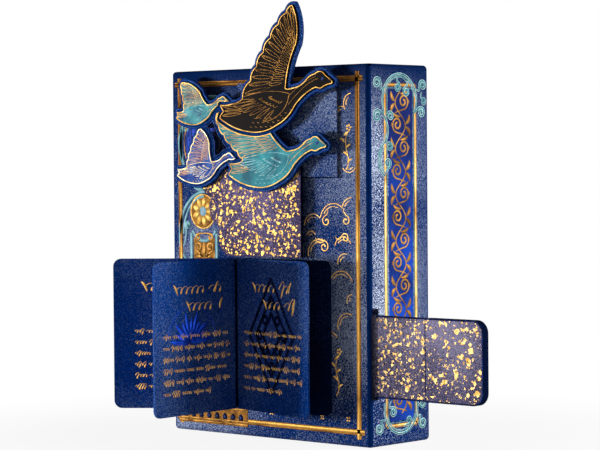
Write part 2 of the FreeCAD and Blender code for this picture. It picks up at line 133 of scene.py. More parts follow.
MATH, VECTOR, RANGE = "ShaderNodeMath", "ShaderNodeVectorMath", "ShaderNodeMapRange"
MIX, NOISE, SPLIT = "ShaderNodeMix", "ShaderNodeTexNoise", "ShaderNodeSeparateXYZ"


def add(tree, kind, inputs=None, **options):
    """Adds a node: an input given as a socket, or as a node for its first one, is linked; others are set."""
    node = tree.nodes.new(kind)
    for name, value in options.items():
        setattr(node, name, value)
    for key, value in (inputs or {}).items():
        if isinstance(value, bpy.types.Node):
            value = value.outputs[0]
        if isinstance(value, bpy.types.NodeSocket):
            tree.links.new(value, node.inputs[key])
        else:
            node.inputs[key].default_value = value
    return node


# How far a flake of mica tilts, as a share of the surface normal, and the roughness of the flakes
FLAKE_LEAN = 0.55
FLAKE_ROUGHNESS = (0.38, 0.62)
# Darkest and lightest clouds of a pearl paper's print, and its tone at the top of the case, which is painted
# shade
CLOUD_TONES = (0.72, 1.28)
PAINTED_TOP_SHADE = 0.6
# Noise between which the mica goes from thick to thin, and how thick and thin it lies, as shares of its cover
DRIFT_RANGE = (0.35, 0.65)
DRIFT_COVER = (1.35, 0.35)
# Where the mica changes along an axis of the case, as a painted sheen that is strongest just past the front
# corner and fades towards the back and the top: axis, start and end in millimetres, share at the end. The
# last one is the fall towards the top, and the print darkens with it as painted shade.
PAINTED_SHEEN_CHANGES = (
    ("Y", -HALF_DEPTH, -0.9 * HALF_DEPTH, 1.5),
    ("Y", -0.7 * HALF_DEPTH, HALF_DEPTH, 0.28),
    ("Z", 0.80 * CASE_TOP, CASE_TOP, 0.0))
# A board's face points to the front or back by more than this share; the rest is its cut edge
FACE_SHARE = 0.7
# Grain of a stamped foil in millimetres, coarse enough to break up its gloss in the render
FOIL_GRAIN = 0.35
# Softness of the edge of a worn patch, and how far the grain moves a foil's roughness
WEAR_EDGE = 0.14
GRAIN_ROUGHNESS = (-0.08, 0.14)


def rgba(value):
    return (*value, 1.0)


def shaded(tone, share):
    """A tone made darker or lighter by a share."""
    return rgba([min(1, share * c) for c in tone])


def start_material(name):
    """The empty tree of a new material, with a node that gives its coordinates."""
    material = bpy.data.materials.new(name)
    material.use_nodes = True
    tree = material.node_tree
    tree.nodes.clear()
    return tree, add(tree, "ShaderNodeTexCoord")


def close_material(tree, shader):
    add(tree, "ShaderNodeOutputMaterial", {"Surface": shader})


def pearl_paper(name, base, shine, coverage, gleam, edge=None, fold=None):
    """Matt coated paper with mica: dark print, and flakes that each tilt their own way and glint.

    The mica lies thicker in some places than in others. A board's cut edge, where one is given, is
    plain dark pulp on the sides that look along the board. Where the width of a fold is given, light and
    shade are painted in: the mica is left out at the upright corners of the case as painted shade, lies
    thickest on a side just past the front corner as a painted sheen, and thins from there towards the back
    and the top as that sheen fades, and the print is darker towards the top as painted shade.
    """
    papers = settings("deck_papers")
    tree, given = start_material(name)
    place = given.outputs["Object"]
    cells = add(tree, "ShaderNodeTexVoronoi", {"Vector": place, "Scale": 1 / papers.grain})
    chance = add(tree, "ShaderNodeSeparateColor", {"Color": cells.outputs["Color"]})
    drift = add(tree, NOISE, {"Vector": place, "Scale": 1 / papers.drift, "Detail": 1.0})
    bare = add(tree, RANGE, {
        "Value": drift, "From Min": DRIFT_RANGE[0], "From Max": DRIFT_RANGE[1],
        "To Min": 1 - DRIFT_COVER[0] * coverage, "To Max": 1 - DRIFT_COVER[1] * coverage})
    flakes = add(tree, RANGE, {"Value": chance, "From Min": bare, "From Max": 1.15})
    cloud = add(tree, NOISE, {"Vector": place, "Scale": 1 / papers.fibre, "Detail": 4.0})
    ground = add(tree, MIX, {
        0: cloud, 6: shaded(base, CLOUD_TONES[0]), 7: shaded(base, CLOUD_TONES[1])},
        data_type="RGBA").outputs[2]
    if edge is not None:
        facing = add(tree, SPLIT, {0: given.outputs["Normal"]})
        face = add(tree, MATH, {0: facing.outputs["Y"]}, operation="ABSOLUTE")
        face = add(tree, MATH, {0: face, 1: FACE_SHARE}, operation="GREATER_THAN")
        flakes = add(tree, MATH, {0: flakes, 1: face}, operation="MULTIPLY")
        ground = add(tree, MIX, {0: face, 6: rgba(edge), 7: ground}, data_type="RGBA").outputs[2]
    # Painted light and shade on the case paper: no mica at the upright folds, more just past the front
    # corner, less towards the back and top, and a darker print at the top.
    if fold is not None:
        away = add(tree, VECTOR, {0: place}, operation="ABSOLUTE")
        away = add(tree, SPLIT, {0: away})
        inner = [add(tree, MATH, {0: away.outputs[axis], 1: half * MM - fold}, operation="LESS_THAN")
                 for axis, half in (("X", HALF_WIDTH), ("Y", HALF_DEPTH))]
        flat = add(tree, MATH, {0: inner[0], 1: inner[1]}, operation="MAXIMUM")
        spot = add(tree, SPLIT, {0: place})
        # Painted sheen, strongest just past the front corner and fading towards the back and the top.
        for axis, start, end, last in PAINTED_SHEEN_CHANGES:
            share = add(tree, RANGE, {
                "Value": spot.outputs[axis], "From Min": start * MM, "From Max": end * MM,
                "To Min": 1.0, "To Max": last})
            flat = add(tree, MATH, {0: flat, 1: share}, operation="MULTIPLY")
        flakes = add(tree, MATH, {0: flakes, 1: flat}, operation="MULTIPLY")
        # Painted shade: the print darkens towards the top of the case.
        ground = add(tree, MIX, {0: share, 6: shaded(base, PAINTED_TOP_SHADE), 7: ground}, data_type="RGBA").outputs[2]
    tone = add(tree, MIX, {0: flakes, 6: ground, 7: rgba(shine)}, data_type="RGBA")
    metal = add(tree, MATH, {0: flakes, 1: gleam}, operation="MULTIPLY")
    rough = add(tree, RANGE, {
        "Value": chance.outputs[1], "To Min": FLAKE_ROUGHNESS[0], "To Max": FLAKE_ROUGHNESS[1]})
    lean = add(tree, VECTOR, {0: cells.outputs["Color"], 1: (0.5, 0.5, 0.5)}, operation="SUBTRACT")
    lean = add(tree, VECTOR, {0: lean, "Scale": FLAKE_LEAN}, operation="SCALE")
    level = add(tree, "ShaderNodeNewGeometry").outputs["Normal"]
    lean = add(tree, VECTOR, {0: level, 1: lean}, operation="ADD")
    lean = add(tree, VECTOR, {0: lean}, operation="NORMALIZE")
    close_material(tree, add(tree, "ShaderNodeBsdfPrincipled", {
        "Base Color": tone.outputs[2], "Metallic": metal, "Roughness": rough,
        "Specular IOR Level": 0.0, "Normal": lean}))


def stamped_foil(name, bright, dark, patch, rough, wear=0.5, top_shade_heights=None):
    """Hot-stamped foil: a metal skin, dulled in patches where it sank into the paper.

    A foil given top shade heights darkens from its first height to its second, a painted shade towards the
    top.
    """
    tree, given = start_material(name)
    place = given.outputs["Object"]
    patches = add(tree, NOISE, {"Vector": place, "Scale": 1 / (patch * MM), "Detail": 3.0})
    grain = add(tree, NOISE, {"Vector": place, "Scale": 1 / (FOIL_GRAIN * MM), "Detail": 2.0})
    mask = add(tree, RANGE, {"Value": patches, "From Min": wear - WEAR_EDGE, "From Max": wear + WEAR_EDGE})
    # Painted shade: the foil darkens towards the top.
    if top_shade_heights:
        height = add(tree, SPLIT, {0: place}).outputs["Z"]
        kept = add(tree, RANGE, {
            "Value": height, "From Min": top_shade_heights[0] * MM, "From Max": top_shade_heights[1] * MM,
            "To Min": 1.0, "To Max": 0.1})
        mask = add(tree, MATH, {0: mask, 1: kept}, operation="MULTIPLY")
    tone = add(tree, MIX, {0: mask, 6: rgba(dark), 7: rgba(bright)}, data_type="RGBA")
    shade = add(tree, RANGE, {
        "Value": grain, "From Min": 0.3, "From Max": 0.7,
        "To Min": rough + GRAIN_ROUGHNESS[0], "To Max": rough + GRAIN_ROUGHNESS[1]})
    bump = add(tree, "ShaderNodeBump", {"Strength": 0.35, "Distance": 0.03 * MM, "Height": grain})
    close_material(tree, add(tree, "ShaderNodeBsdfPrincipled", {
        "Base Color": tone.outputs[2], "Metallic": 1.0, "Roughness": shade, "Normal": bump}))


def satin_print(name, bright, dark, patch, varnish):
    """Printed colour under a satin varnish, softly shaded from one tone to the other."""
    tree, given = start_material(name)
    place = given.outputs["Object"]
    patches = add(tree, NOISE, {"Vector": place, "Scale": 1 / (patch * MM), "Detail": 3.0})
    mask = add(tree, RANGE, {"Value": patches, "From Min": 0.36, "From Max": 0.64})
    tone = add(tree, MIX, {0: mask, 6: rgba(dark), 7: rgba(bright)}, data_type="RGBA")
    close_material(tree, add(tree, "ShaderNodeBsdfPrincipled", {
        "Base Color": tone.outputs[2], "Roughness": 0.45, "Specular IOR Level": varnish}))


def matt_board(name, base, fibre, rough, depth):
    """Uncoated board or stock: matt, with short fibres that mottle it."""
    tree, given = start_material(name)
    place = given.outputs["Object"]
    fibres = add(tree, NOISE, {"Vector": place, "Scale": 1 / (fibre * MM), "Detail": 5.0, "Roughness": 0.65})
    tone = add(tree, MIX, {0: fibres, 6: shaded(base, 0.78), 7: shaded(base, 1.12)}, data_type="RGBA")
    bump = add(tree, "ShaderNodeBump", {"Strength": 0.4, "Distance": depth * MM, "Height": fibres})
    close_material(tree, add(tree, "ShaderNodeBsdfPrincipled", {
        "Base Color": tone.outputs[2], "Roughness": rough, "Normal": bump}))


# Drawing: a stroke is a list of (across, up, swell) in millimetres on a face

BEND_STEPS = 16
PETAL_STEPS = 12


def line(start, end, swell=1.0):
    return [(*start, swell), (*end, swell)]


def polar(centre, radius, angle):
    """The point at an angle in radians round a centre."""
    return centre[0] + radius * math.cos(angle), centre[1] + radius * math.sin(angle)


def between(ends, share):
    return ends[0] + (ends[1] - ends[0]) * share


def blend_point(a, b, share):
    """The point at a share of the way from one point to another."""
    return between((a[0], b[0]), share), between((a[1], b[1]), share)


def arc(centre, radius, start, end, swell=(1.0, 1.0)):
    """Part of a circle, from one angle in degrees to another."""
    count = max(6, int(abs(end - start) / 7))
    shares = [index / count for index in range(count + 1)]
    return [(*polar(centre, radius, math.radians(between((start, end), t))), between(swell, t))
            for t in shares]


def along_curve(spots, share):
    """The point at a share of a Bezier curve."""
    last = len(spots) - 1
    weights = [math.comb(last, i) * share ** i * (1 - share) ** (last - i) for i in range(last + 1)]
    return sum(w * p[0] for w, p in zip(weights, spots)), sum(w * p[1] for w, p in zip(weights, spots))


def bend(start, first, second, end, swell=(1.0, 1.0)):
    """A cubic curve between two points."""
    spots = (start, first, second, end)
    return [(*along_curve(spots, t), between(swell, t))
            for t in (index / BEND_STEPS for index in range(BEND_STEPS + 1))]


def volute(tail, eye, radius, start, turns=1.35, hand=1, lead=1.6, swell=1.0):
    """A line from its tail that winds into a spiral round an eye."""
    angle = math.radians(start)
    first = polar(eye, radius, angle)
    along = (-hand * math.sin(angle), hand * math.cos(angle))
    control = (first[0] - along[0] * lead * radius, first[1] - along[1] * lead * radius)
    points = bend(tail, blend_point(tail, control, 0.4), control, first, (0.45 * swell, swell))
    count = int(26 * turns)
    for share in (index / count for index in range(1, count + 1)):
        spot = polar(eye, radius * (1 - 0.80 * share), angle + hand * math.tau * turns * share)
        points.append((*spot, swell * (1 + 0.5 * share)))
    return points


def petal(start, end, lean=0.0, fat=3.0):
    """A leaf shape: a stroke that swells in its middle and bows to one side."""
    middle = ((start[0] + end[0]) / 2 - lean * (end[1] - start[1]),
              (start[1] + end[1]) / 2 + lean * (end[0] - start[0]))
    return [(*along_curve((start, middle, end), t), 0.25 + fat * math.sin(math.pi * t) ** 0.8)
            for t in (index / PETAL_STEPS for index in range(PETAL_STEPS + 1))]


def moved(strokes, shift, size=1.0):
    """Strokes scaled and then moved."""
    return [[(shift[0] + size * x, shift[1] + size * y, r) for x, y, r in stroke] for stroke in strokes]


def mirrored(strokes, about=0.0):
    return [[(2 * about - x, y, r) for x, y, r in stroke] for stroke in strokes]


def upended(strokes, about):
    return [[(x, 2 * about - y, r) for x, y, r in stroke] for stroke in strokes]


# Faces that carry foil


def face_place(origin, across, up):
    """Matrix of a flat face: its x runs across, its y up and its z out of the paper."""
    out = across.cross(up)
    place = Matrix((across, up, out)).transposed().to_4x4()
    place.translation = origin
    return place


def node_front(node):
    """Matrix of the face of a node that looks to the front."""
    return face_place(Vector((0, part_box(node)[0].y, 0)), ACROSS, UP)


FACES = {
    "front": face_place(Vector((0, FRONT_LOW.y, 0)), ACROSS, UP),
    "right": face_place(Vector((SIDE_HIGH.x, 0, 0)), DEPTH, UP),
    "back": face_place(Vector((0, BACK_HIGH.y, 0)), -ACROSS, UP),
    "left": face_place(Vector((-SIDE_HIGH.x, 0, 0)), -DEPTH, UP),
    "lid": face_place(Vector((0, 0, LID_HIGH.z)), ACROSS, DEPTH),
}


def leaf_place(node, other_side=False):
    """Place and width of a leaf's page, measured from its lower left corner."""
    mesh = NODES[node].data
    out = max(mesh.polygons, key=lambda p: p.area).normal.copy()
    if out.y > 0:
        out = -out
    if other_side:
        out = -out
    across = UP.cross(out)
    spots = [v.co for v in mesh.vertices]
    left = min(s.dot(across) for s in spots)
    low = min(s.z for s in spots)
    level = max(s.dot(out) for s in spots)
    width = (max(s.dot(across) for s in spots) - left) / MM
    return face_place(across * left + UP * low + out * level, across, UP), width


# Pieces


def new_tree(name, sockets):
    tree = bpy.data.node_groups.new(name, "GeometryNodeTree")
    tree.interface.new_socket("Geometry", in_out="INPUT", socket_type="NodeSocketGeometry")
    tree.interface.new_socket("Geometry", in_out="OUTPUT", socket_type="NodeSocketGeometry")
    for label, kind, default in sockets:
        socket = tree.interface.new_socket(label, in_out="INPUT", socket_type=kind)
        if default is not None:
            socket.default_value = default
    return tree


def stroke_tree():
    """Sweeps a flat ribbon along drawn strokes, as wide as each point swells and no higher than asked."""
    made = bpy.data.node_groups.get("Foil Strokes")
    if made:
        return made
    tree = new_tree("Foil Strokes", (
        ("Width", "NodeSocketFloat", 0.3 * MM),
        ("Height", "NodeSocketFloat", 0.06 * MM),
        ("Material", "NodeSocketMaterial", None)))
    given = add(tree, "NodeGroupInput")
    swell = add(tree, "GeometryNodeInputNamedAttribute", {"Name": "swell"}, data_type="FLOAT")
    path = add(tree, "GeometryNodeMeshToCurve", {"Mesh": given.outputs["Geometry"]})
    path = add(tree, "GeometryNodeSetCurveNormal", {"Curve": path}, mode="Z_UP")
    ribbon = add(tree, "GeometryNodeCurvePrimitiveQuadrilateral", {
        "Width": given.outputs["Width"], "Height": given.outputs["Height"]})
    swept = add(tree, "GeometryNodeCurveToMesh", {
        "Curve": path, "Profile Curve": ribbon, "Scale": swell, "Fill Caps": True})
    spot = add(tree, SPLIT, {0: add(tree, "GeometryNodeInputPosition")})
    top = add(tree, MATH, {0: given.outputs["Height"], 1: 0.5}, operation="MULTIPLY")
    foot = add(tree, MATH, {0: given.outputs["Height"], 1: -0.5}, operation="MULTIPLY")
    level = add(tree, "ShaderNodeClamp", {"Value": spot.outputs["Z"], "Min": foot, "Max": top})
    pressed = add(tree, "ShaderNodeCombineXYZ", {0: spot.outputs["X"], 1: spot.outputs["Y"], 2: level})
    flat = add(tree, "GeometryNodeSetPosition", {"Geometry": swept, "Position": pressed})
    whole = add(tree, "GeometryNodeRealizeInstances", {"Geometry": flat})
    dressed = add(tree, "GeometryNodeSetMaterial", {"Geometry": whole, "Material": given.outputs["Material"]})
    add(tree, "NodeGroupOutput", {"Geometry": dressed})
    return tree


# In millimetres: flecks smaller than the least are left out, the drift is the size of the areas where they
# lie thicker, and the tear is the size of the notches in their edges
LEAST_FLECK = 0.06
FLECK_DRIFT = 5.0
FLECK_TEAR = 0.36
FLECK_SIDES = 14


def fleck_tree():
    """Scatters ragged flecks of leaf over a face, none of them past its edge."""
    made = bpy.data.node_groups.get("Leaf Flecks")
    if made:
        return made
    tree = new_tree("Leaf Flecks", (
        ("Density", "NodeSocketFloat", 8.0e5),
        ("Smallest", "NodeSocketFloat", 0.14 * MM),
        ("Largest", "NodeSocketFloat", 1.0 * MM),
        ("Height", "NodeSocketFloat", 0.05 * MM),
        ("Ragged", "NodeSocketFloat", 0.22 * MM),
        ("Low", "NodeSocketFloat", 0.0),
        ("High", "NodeSocketFloat", 1.0),
        ("Lean", "NodeSocketFloat", 0.0),
        ("Seed", "NodeSocketInt", 1),
        ("Material", "NodeSocketMaterial", None)))
    given = add(tree, "NodeGroupInput")
    spot = add(tree, "GeometryNodeInputPosition")
    height = add(tree, SPLIT, {0: spot}).outputs["Z"]
    more = add(tree, MATH, {0: given.outputs["Lean"], 1: 1.0}, operation="ADD")
    slope = add(tree, RANGE, {
        "Value": height, "From Min": given.outputs["Low"], "From Max": given.outputs["High"],
        "To Min": more, "To Max": 1.0})
    drift = add(tree, NOISE, {"Vector": spot, "Scale": 1 / (FLECK_DRIFT * MM), "Detail": 1.0})
    drift = add(tree, RANGE, {
        "Value": drift, "From Min": 0.36, "From Max": 0.64, "To Min": 0.35, "To Max": 1.5})
    thick = add(tree, MATH, {0: slope, 1: drift}, operation="MULTIPLY")
    thick = add(tree, MATH, {0: thick, 1: given.outputs["Density"]}, operation="MULTIPLY")
    points = add(tree, "GeometryNodeDistributePointsOnFaces", {
        "Mesh": given.outputs["Geometry"], "Density": thick, "Seed": given.outputs["Seed"]})
    faces = add(tree, "GeometryNodeInputMeshEdgeNeighbors")
    borders = add(tree, "FunctionNodeCompare", {0: faces, 1: 1.0}, data_type="FLOAT", operation="EQUAL")
    rim = add(tree, "GeometryNodeSeparateGeometry", {
        "Geometry": given.outputs["Geometry"], "Selection": borders}, domain="EDGE")
    inside = add(tree, "GeometryNodeProximity", {0: rim}, target_element="EDGES")
    room = add(tree, MATH, {0: inside.outputs["Distance"], 1: given.outputs["Ragged"]}, operation="SUBTRACT")
    chance = add(tree, "FunctionNodeRandomValue", {"Seed": given.outputs["Seed"]}, data_type="FLOAT")
    rare = add(tree, MATH, {0: chance.outputs[1], 1: 4.0}, operation="POWER")
    size = add(tree, RANGE, {
        "Value": rare, "To Min": given.outputs["Smallest"], "To Max": given.outputs["Largest"]})
    size = add(tree, MATH, {0: size, 1: room}, operation="MINIMUM")
    kept = add(tree, "FunctionNodeCompare", {
        0: size, 1: LEAST_FLECK * MM}, data_type="FLOAT", operation="GREATER_THAN")
    narrow = add(tree, "FunctionNodeRandomValue", {2: 0.45, 3: 1.0, "Seed": 5}, data_type="FLOAT")
    slim = add(tree, MATH, {0: size, 1: narrow.outputs[1]}, operation="MULTIPLY")
    extent = add(tree, "ShaderNodeCombineXYZ", {0: size, 1: slim, 2: 1.0})
    spin = add(tree, "FunctionNodeRandomValue", {2: 0.0, 3: math.tau, "Seed": 9}, data_type="FLOAT")
    spin = add(tree, "FunctionNodeAxisAngleToRotation", {"Axis": (0, 0, 1), "Angle": spin.outputs[1]})
    turn = points.outputs["Rotation"]
    spun = add(tree, "FunctionNodeRotateRotation", {0: turn, 1: spin}, rotation_space="LOCAL")
    flake = add(tree, "GeometryNodeMeshCylinder", {
        "Vertices": FLECK_SIDES, "Radius": 1.0, "Depth": given.outputs["Height"]})
    flecks = add(tree, "GeometryNodeInstanceOnPoints", {
        "Points": points.outputs["Points"], "Selection": kept, "Instance": flake,
        "Rotation": spun, "Scale": extent})
    whole = add(tree, "GeometryNodeRealizeInstances", {"Geometry": flecks})
    tear = add(tree, NOISE, {"Vector": spot, "Scale": 1 / (FLECK_TEAR * MM), "Detail": 1.0})
    tear = add(tree, VECTOR, {0: tear.outputs["Color"], 1: (0.5, 0.5, 0.5)}, operation="SUBTRACT")
    tear = add(tree, VECTOR, {0: tear, 1: (6.0, 0.0, 6.0)}, operation="MULTIPLY")
    tear = add(tree, VECTOR, {0: tear, "Scale": given.outputs["Ragged"]}, operation="SCALE")
    torn = add(tree, "GeometryNodeSetPosition", {"Geometry": whole, "Offset": tear})
    dressed = add(tree, "GeometryNodeSetMaterial", {"Geometry": torn, "Material": given.outputs["Material"]})
    add(tree, "NodeGroupOutput", {"Geometry": dressed})
    return tree


def new_object(name, data):
    made = bpy.data.objects.new(name, data)
    bpy.context.scene.collection.objects.link(made)
    return made


def new_mesh(name, shape):
    """A mesh from a finished bmesh shape, which is freed."""
    mesh = bpy.data.meshes.new(name)
    shape.to_mesh(mesh)
    shape.free()
    return mesh


def grow(name, mesh, tree, inputs):
    """A plain mesh piece from a mesh and a node tree with its named inputs set."""
    piece = new_object(name, mesh)
    modifier = piece.modifiers.new(tree.name, "NODES")
    modifier.node_group = tree
    sockets = {s.name: s.identifier for s in tree.interface.items_tree if s.in_out == "INPUT"}
    for label, value in inputs.items():
        modifier[sockets[label]] = value
    grown = bpy.data.meshes.new_from_object(piece.evaluated_get(bpy.context.evaluated_depsgraph_get()))
    piece.modifiers.clear()
    piece.data = grown
    bpy.data.meshes.remove(mesh)
    if not grown.polygons:
        raise RuntimeError(f"{name} came out empty")
    return piece


def foil_lines(name, strokes, place, foil, width, lift=0.0, body="case", closed=False):
    """Strokes stamped on a face as raised foil; the piece rides on a body."""
    spots, edges, swells = [], [], []
    for stroke in strokes:
        first = len(spots)
        spots += [(x * MM, y * MM, 0) for x, y, _ in stroke]
        swells += [r for _, _, r in stroke]
        edges += [(i, i + 1) for i in range(first, len(spots) - 1)]
        if closed:
            edges.append((len(spots) - 1, first))
    mesh = bpy.data.meshes.new(name)
    mesh.from_pydata(spots, edges, [])
    mesh.attributes.new("swell", "FLOAT", "POINT").data.foreach_set("value", swells)
    piece = grow(name, mesh, stroke_tree(), {
        "Width": width, "Height": settings("deck_foils").raised, "Material": finish(foil)})
    piece.data.transform(place @ Matrix.Translation((0, 0, lift * MM)))
    settle(piece, body)


def foil_sheet(name, outlines, place, foil, height, body="case"):
    """Closed flat areas of foil with a given height."""
    shape = bmesh.new()
    for corners in outlines:
        low = shape.faces.new([shape.verts.new((x * MM, y * MM, 0)) for x, y in corners])
        if low.normal.z > 0:
            low.normal_flip()
        top = bmesh.ops.extrude_face_region(shape, geom=[low])
        raised = [v for v in top["geom"] if isinstance(v, bmesh.types.BMVert)]
        bmesh.ops.translate(shape, vec=(0, 0, height * MM), verts=raised)
    bmesh.ops.recalc_face_normals(shape, faces=shape.faces)
    mesh = new_mesh(name, shape)
    mesh.transform(place)
    mesh.materials.append(finish(foil))
    settle(new_object(name, mesh), body)


def settle(piece, body):
    """Ties a finished piece to its body."""
    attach(piece, body)


def disc(centre, radius, count=72):
    return [polar(centre, radius, math.tau * i / count) for i in range(count)]


def rectangle(left, low, right, high):
    return [(left, low), (right, low), (right, high), (left, high)]


def neighbours(loop):
    """Each point of a closed outline with the next one."""
    return zip(loop, loop[1:] + loop[:1])


def outline(corners, swell=1.0):
    return [line(a, b, swell) for a, b in neighbours(corners)]


def finish(name):
    made = bpy.data.materials.get(name)
    if made is None:
        raise RuntimeError(f"the finish {name} has to be made first")
    return made


def dress(node, name):
    """Gives a node of the construction one finish."""
    NODES[node].data.materials.clear()
    NODES[node].data.materials.append(finish(name))


# Papers on the construction

# Foils: bright and dark tone, size of a worn patch in millimetres, roughness, share that is worn, and
# the heights between which some of them darken towards the top, as painted shade. Gold shows warm and
# half polished, browner where it sank into the paper; the flecks of leaf are rougher and so stay bright
# from all sides; a tinted lacquer over the metal makes the teals and blues softer.
FOILS = {
    "gold_border_foil": ("BC8E44", "50300C", 9.0, 0.52, 0.40, (46, 64)),
    "side_gold_foil": ("E6BE72", "8A5A20", 6.0, 0.38, 0.40, (62, 84)),
    "umber_foil": ("6E4A1C", "3A220A", 3.0, 0.60, 0.46),
    "brass_foil": ("A87A3A", "5A3A14", 4.0, 0.54, 0.46),
    "gold_leaf": ("D6B062", "A67C2E", 1.0, 0.58, 0.46),
    "page_gold_foil": ("F4C66C", "C88E3C", 1.0, 0.52, 0.44),
    "pale_leaf": ("DCBC7C", "B0843C", 1.0, 0.58, 0.46),
    "deep_teal_foil": ("3C7480", "1E4C58", 3.0, 0.58, 0.45),
    "pale_teal_foil": ("98C4C8", "5A949C", 2.0, 0.54, 0.45),
    "pearl_teal_foil": ("CDEBE8", "86BCC0", 2.0, 0.50, 0.45),
    "pale_line_foil": ("EADFB4", "B99A58", 2.0, 0.52, 0.45),
    "royal_foil": ("2A5CE6", "0F36B0", 4.0, 0.50, 0.5),
    "navy_line_foil": ("34508E", "1E3870", 3.0, 0.45, 0.5),
    "dark_line_foil": ("0B1A44", "060D26", 3.0, 0.36, 0.5),
}
# Prints: bright and dark tone, size of a patch in millimetres, and gloss of the varnish. They stay flat
# and deep beside the foils, the darkest almost without gloss.
PRINTS = {
    "brown_black_print": ("160D0B", "070405", 4.0, 0.015),
    "teal_print": ("2FA6B0", "0E6478", 5.0, 0.05),
    "jewel_print": ("86B4C8", "5A8CA8", 1.0, 0.12),
    "duck_egg_print": ("8CC4D0", "5A9CAA", 2.0, 0.3),
    # Painted shade in the fold between leaves.
    "gutter_ink": ("050D26", "030818", 4.0, 0.02),
    "sea_green_print": ("46ACB0", "14587A", 3.0, 0.05),
    "blue_white_print": ("3F6EC4", "0C3490", 3.0, 0.03),
}
SLOT_FINISHES = {
    "blue_carton": "pearl_paper_navy", "grey_spacer_board": "greyboard", "card_stock": "card_stock_white",
    "leaf_paper": "pearl_paper_leaf", "spatter_board": "pearl_paper_violet",
    "spatter_strip": "pearl_paper_strip", "flock_margin_board": "printed_board_margin",
    "dark_print": "brown_black_print", "teal_foil": "teal_print", "pale_foil": "sea_green_print",
    "white_foil": "blue_white_print", "rivet_plastic": "nylon_rivet",
}
CUT_EDGE = "0A1636"


class DECK_OT_papers(bpy.types.Operator):
    """Makes the finishes and puts the papers and boards on the construction"""
    bl_idname = "deck.papers"
    bl_label = "Papers and Boards"

    def execute(self, context):
        papers, foils = settings("deck_papers"), settings("deck_foils")
        edge = linear(CUT_EDGE)
        pearl_paper("pearl_paper_navy", papers.carton, papers.mica, 0.64, 0.5, fold=papers.fold)
        pearl_paper("pearl_paper_leaf", papers.leaf, linear("86A0D2"), 0.43, 0.32)
        pearl_paper("pearl_paper_violet", papers.spatter, linear("9C8EBC"), 0.58, 0.45, edge)
        pearl_paper("pearl_paper_strip", linear("4A4462"), linear("AEA6C4"), 0.80, 0.42, edge)
        pearl_paper("pearl_paper_plate", papers.plate, papers.mica, 0.60, 0.5)
        # Darker paper for the base leaf, painted shade: it lies in the shadow of the other leaves.
        pearl_paper("pearl_paper_shaded_base", linear("071C44"), linear("5068A0"), 0.15, 0.3)
        pearl_paper("printed_board_margin", papers.margin, linear("7088BC"), 0.25, 0.3)
        matt_board("greyboard", papers.greyboard, 0.8, 0.85, 0.05)
        matt_board("card_stock_white", papers.card, 0.5, 0.45, 0.01)
        matt_board("nylon_rivet", linear("30384C"), 2.0, 0.35, 0.01)
        stamped_foil("gold_foil", foils.gold, foils.old_gold, 4.0, 0.46, 0.46)
        # Painted shade line beside the borders.
        stamped_foil("border_shade_gold_foil", foils.old_gold, linear("4A2A0C"), 5.0, 0.50)
        stamped_foil("teal_line_foil", foils.teal, linear("3C6C78"), 3.0, 0.60, 0.45)
        # The blue of the bands and discs darkens towards the top as painted shade.
        stamped_foil("blue_foil", foils.blue, linear("030A30"), 9.0, 0.42, 0.42, (40, 76))
        for make, table in ((stamped_foil, FOILS), (satin_print, PRINTS)):
            for name, (bright, dark, *surface) in table.items():
                make(name, linear(bright), linear(dark), *surface)
        for item in NODES.values():
            slot = item.data.materials[0].name.split(".")[0]
            if slot not in SLOT_FINISHES:
                raise RuntimeError(f"{item.name} has no finish for {slot}")
            dress(item.name, SLOT_FINISHES[slot])
        dress("carriage_plate", "pearl_paper_plate")
        # The base leaf gets the darker paper as painted shade.
        dress("booklet_base_leaf", "pearl_paper_shaded_base")
        return {"FINISHED"}


# Borders

BORDER_LEFT = 3.2
BORDER_RIGHT = 3.75
BORDER_TOP = 3.7
BORDER_LOW = 3.75
BORDER_PAST = 1.9


def frame_strokes(left, low, right, high, past):
    """Four lines that cross and run past each other at the corners."""
    return [
        line((left - past, low), (right + past, low)), line((left - past, high), (right + past, high)),
        line((left, low - past), (left, high + past)), line((right, low - past), (right, high + past))]


def border(name, face, body, edges, width):
    """A gold line with a darker line along its outer side, which is painted shade."""
    left, low, right, high = edges
    step = 0.54 * width / MM
    outer = frame_strokes(left - step, low - step, right + step, high + step, BORDER_PAST - step)
    strokes = frame_strokes(left, low, right, high, BORDER_PAST)
    foil_lines(name, strokes, FACES[face], "gold_border_foil", 0.80 * width, body=body)
    foil_lines(name + "_shade", outer, FACES[face], "border_shade_gold_foil", 0.34 * width, -0.005, body)


class DECK_OT_borders(bpy.types.Operator):
    """Stamps the gold borders on the faces of the case"""
    bl_idname = "deck.borders"
    bl_label = "Gold Borders"

    def execute(self, context):
        width = settings("deck_foils").line
        left, right, high = BORDER_LEFT - HALF_WIDTH, HALF_WIDTH - BORDER_LEFT, CASE_TOP - BORDER_TOP
        lid_low, lid_high = LID_LOW.y / MM + BORDER_LEFT, LID_HIGH.y / MM - BORDER_LEFT
        border("front_border", "front", "case", (left, BORDER_LOW, HALF_WIDTH - BORDER_RIGHT, high), width)
        border("back_border", "back", "case", (left, BORDER_LOW, right, high), width)
        border("lid_border", "lid", "lid", (left, lid_low, right, lid_high), 0.7 * width)
        return {"FINISHED"}


# Medallion and pillar at the left of the front

RING_CENTRE = (-18.6, 73.4)
RING_RADIUS = 11.6
PILLAR_LEFT = -26.3
PILLAR_RIGHT = -17.4
PILLAR_LOW = 7.4
PILLAR_TOP = 50.6
PILLAR_EDGE = 0.9
FLOWER_CENTRE = (-22.2, 56.2)
FLOWER_RADIUS = 4.3
FULL_RING = (0, 355)


def rosette(centre, radius, count, fat=3.4, start=0.0):
    """Petals round a centre."""
    angles = [math.radians(start) + math.tau * index / count for index in range(count)]
    return [petal(polar(centre, 0.28 * radius, a), polar(centre, radius, a), 0.0, fat) for a in angles]


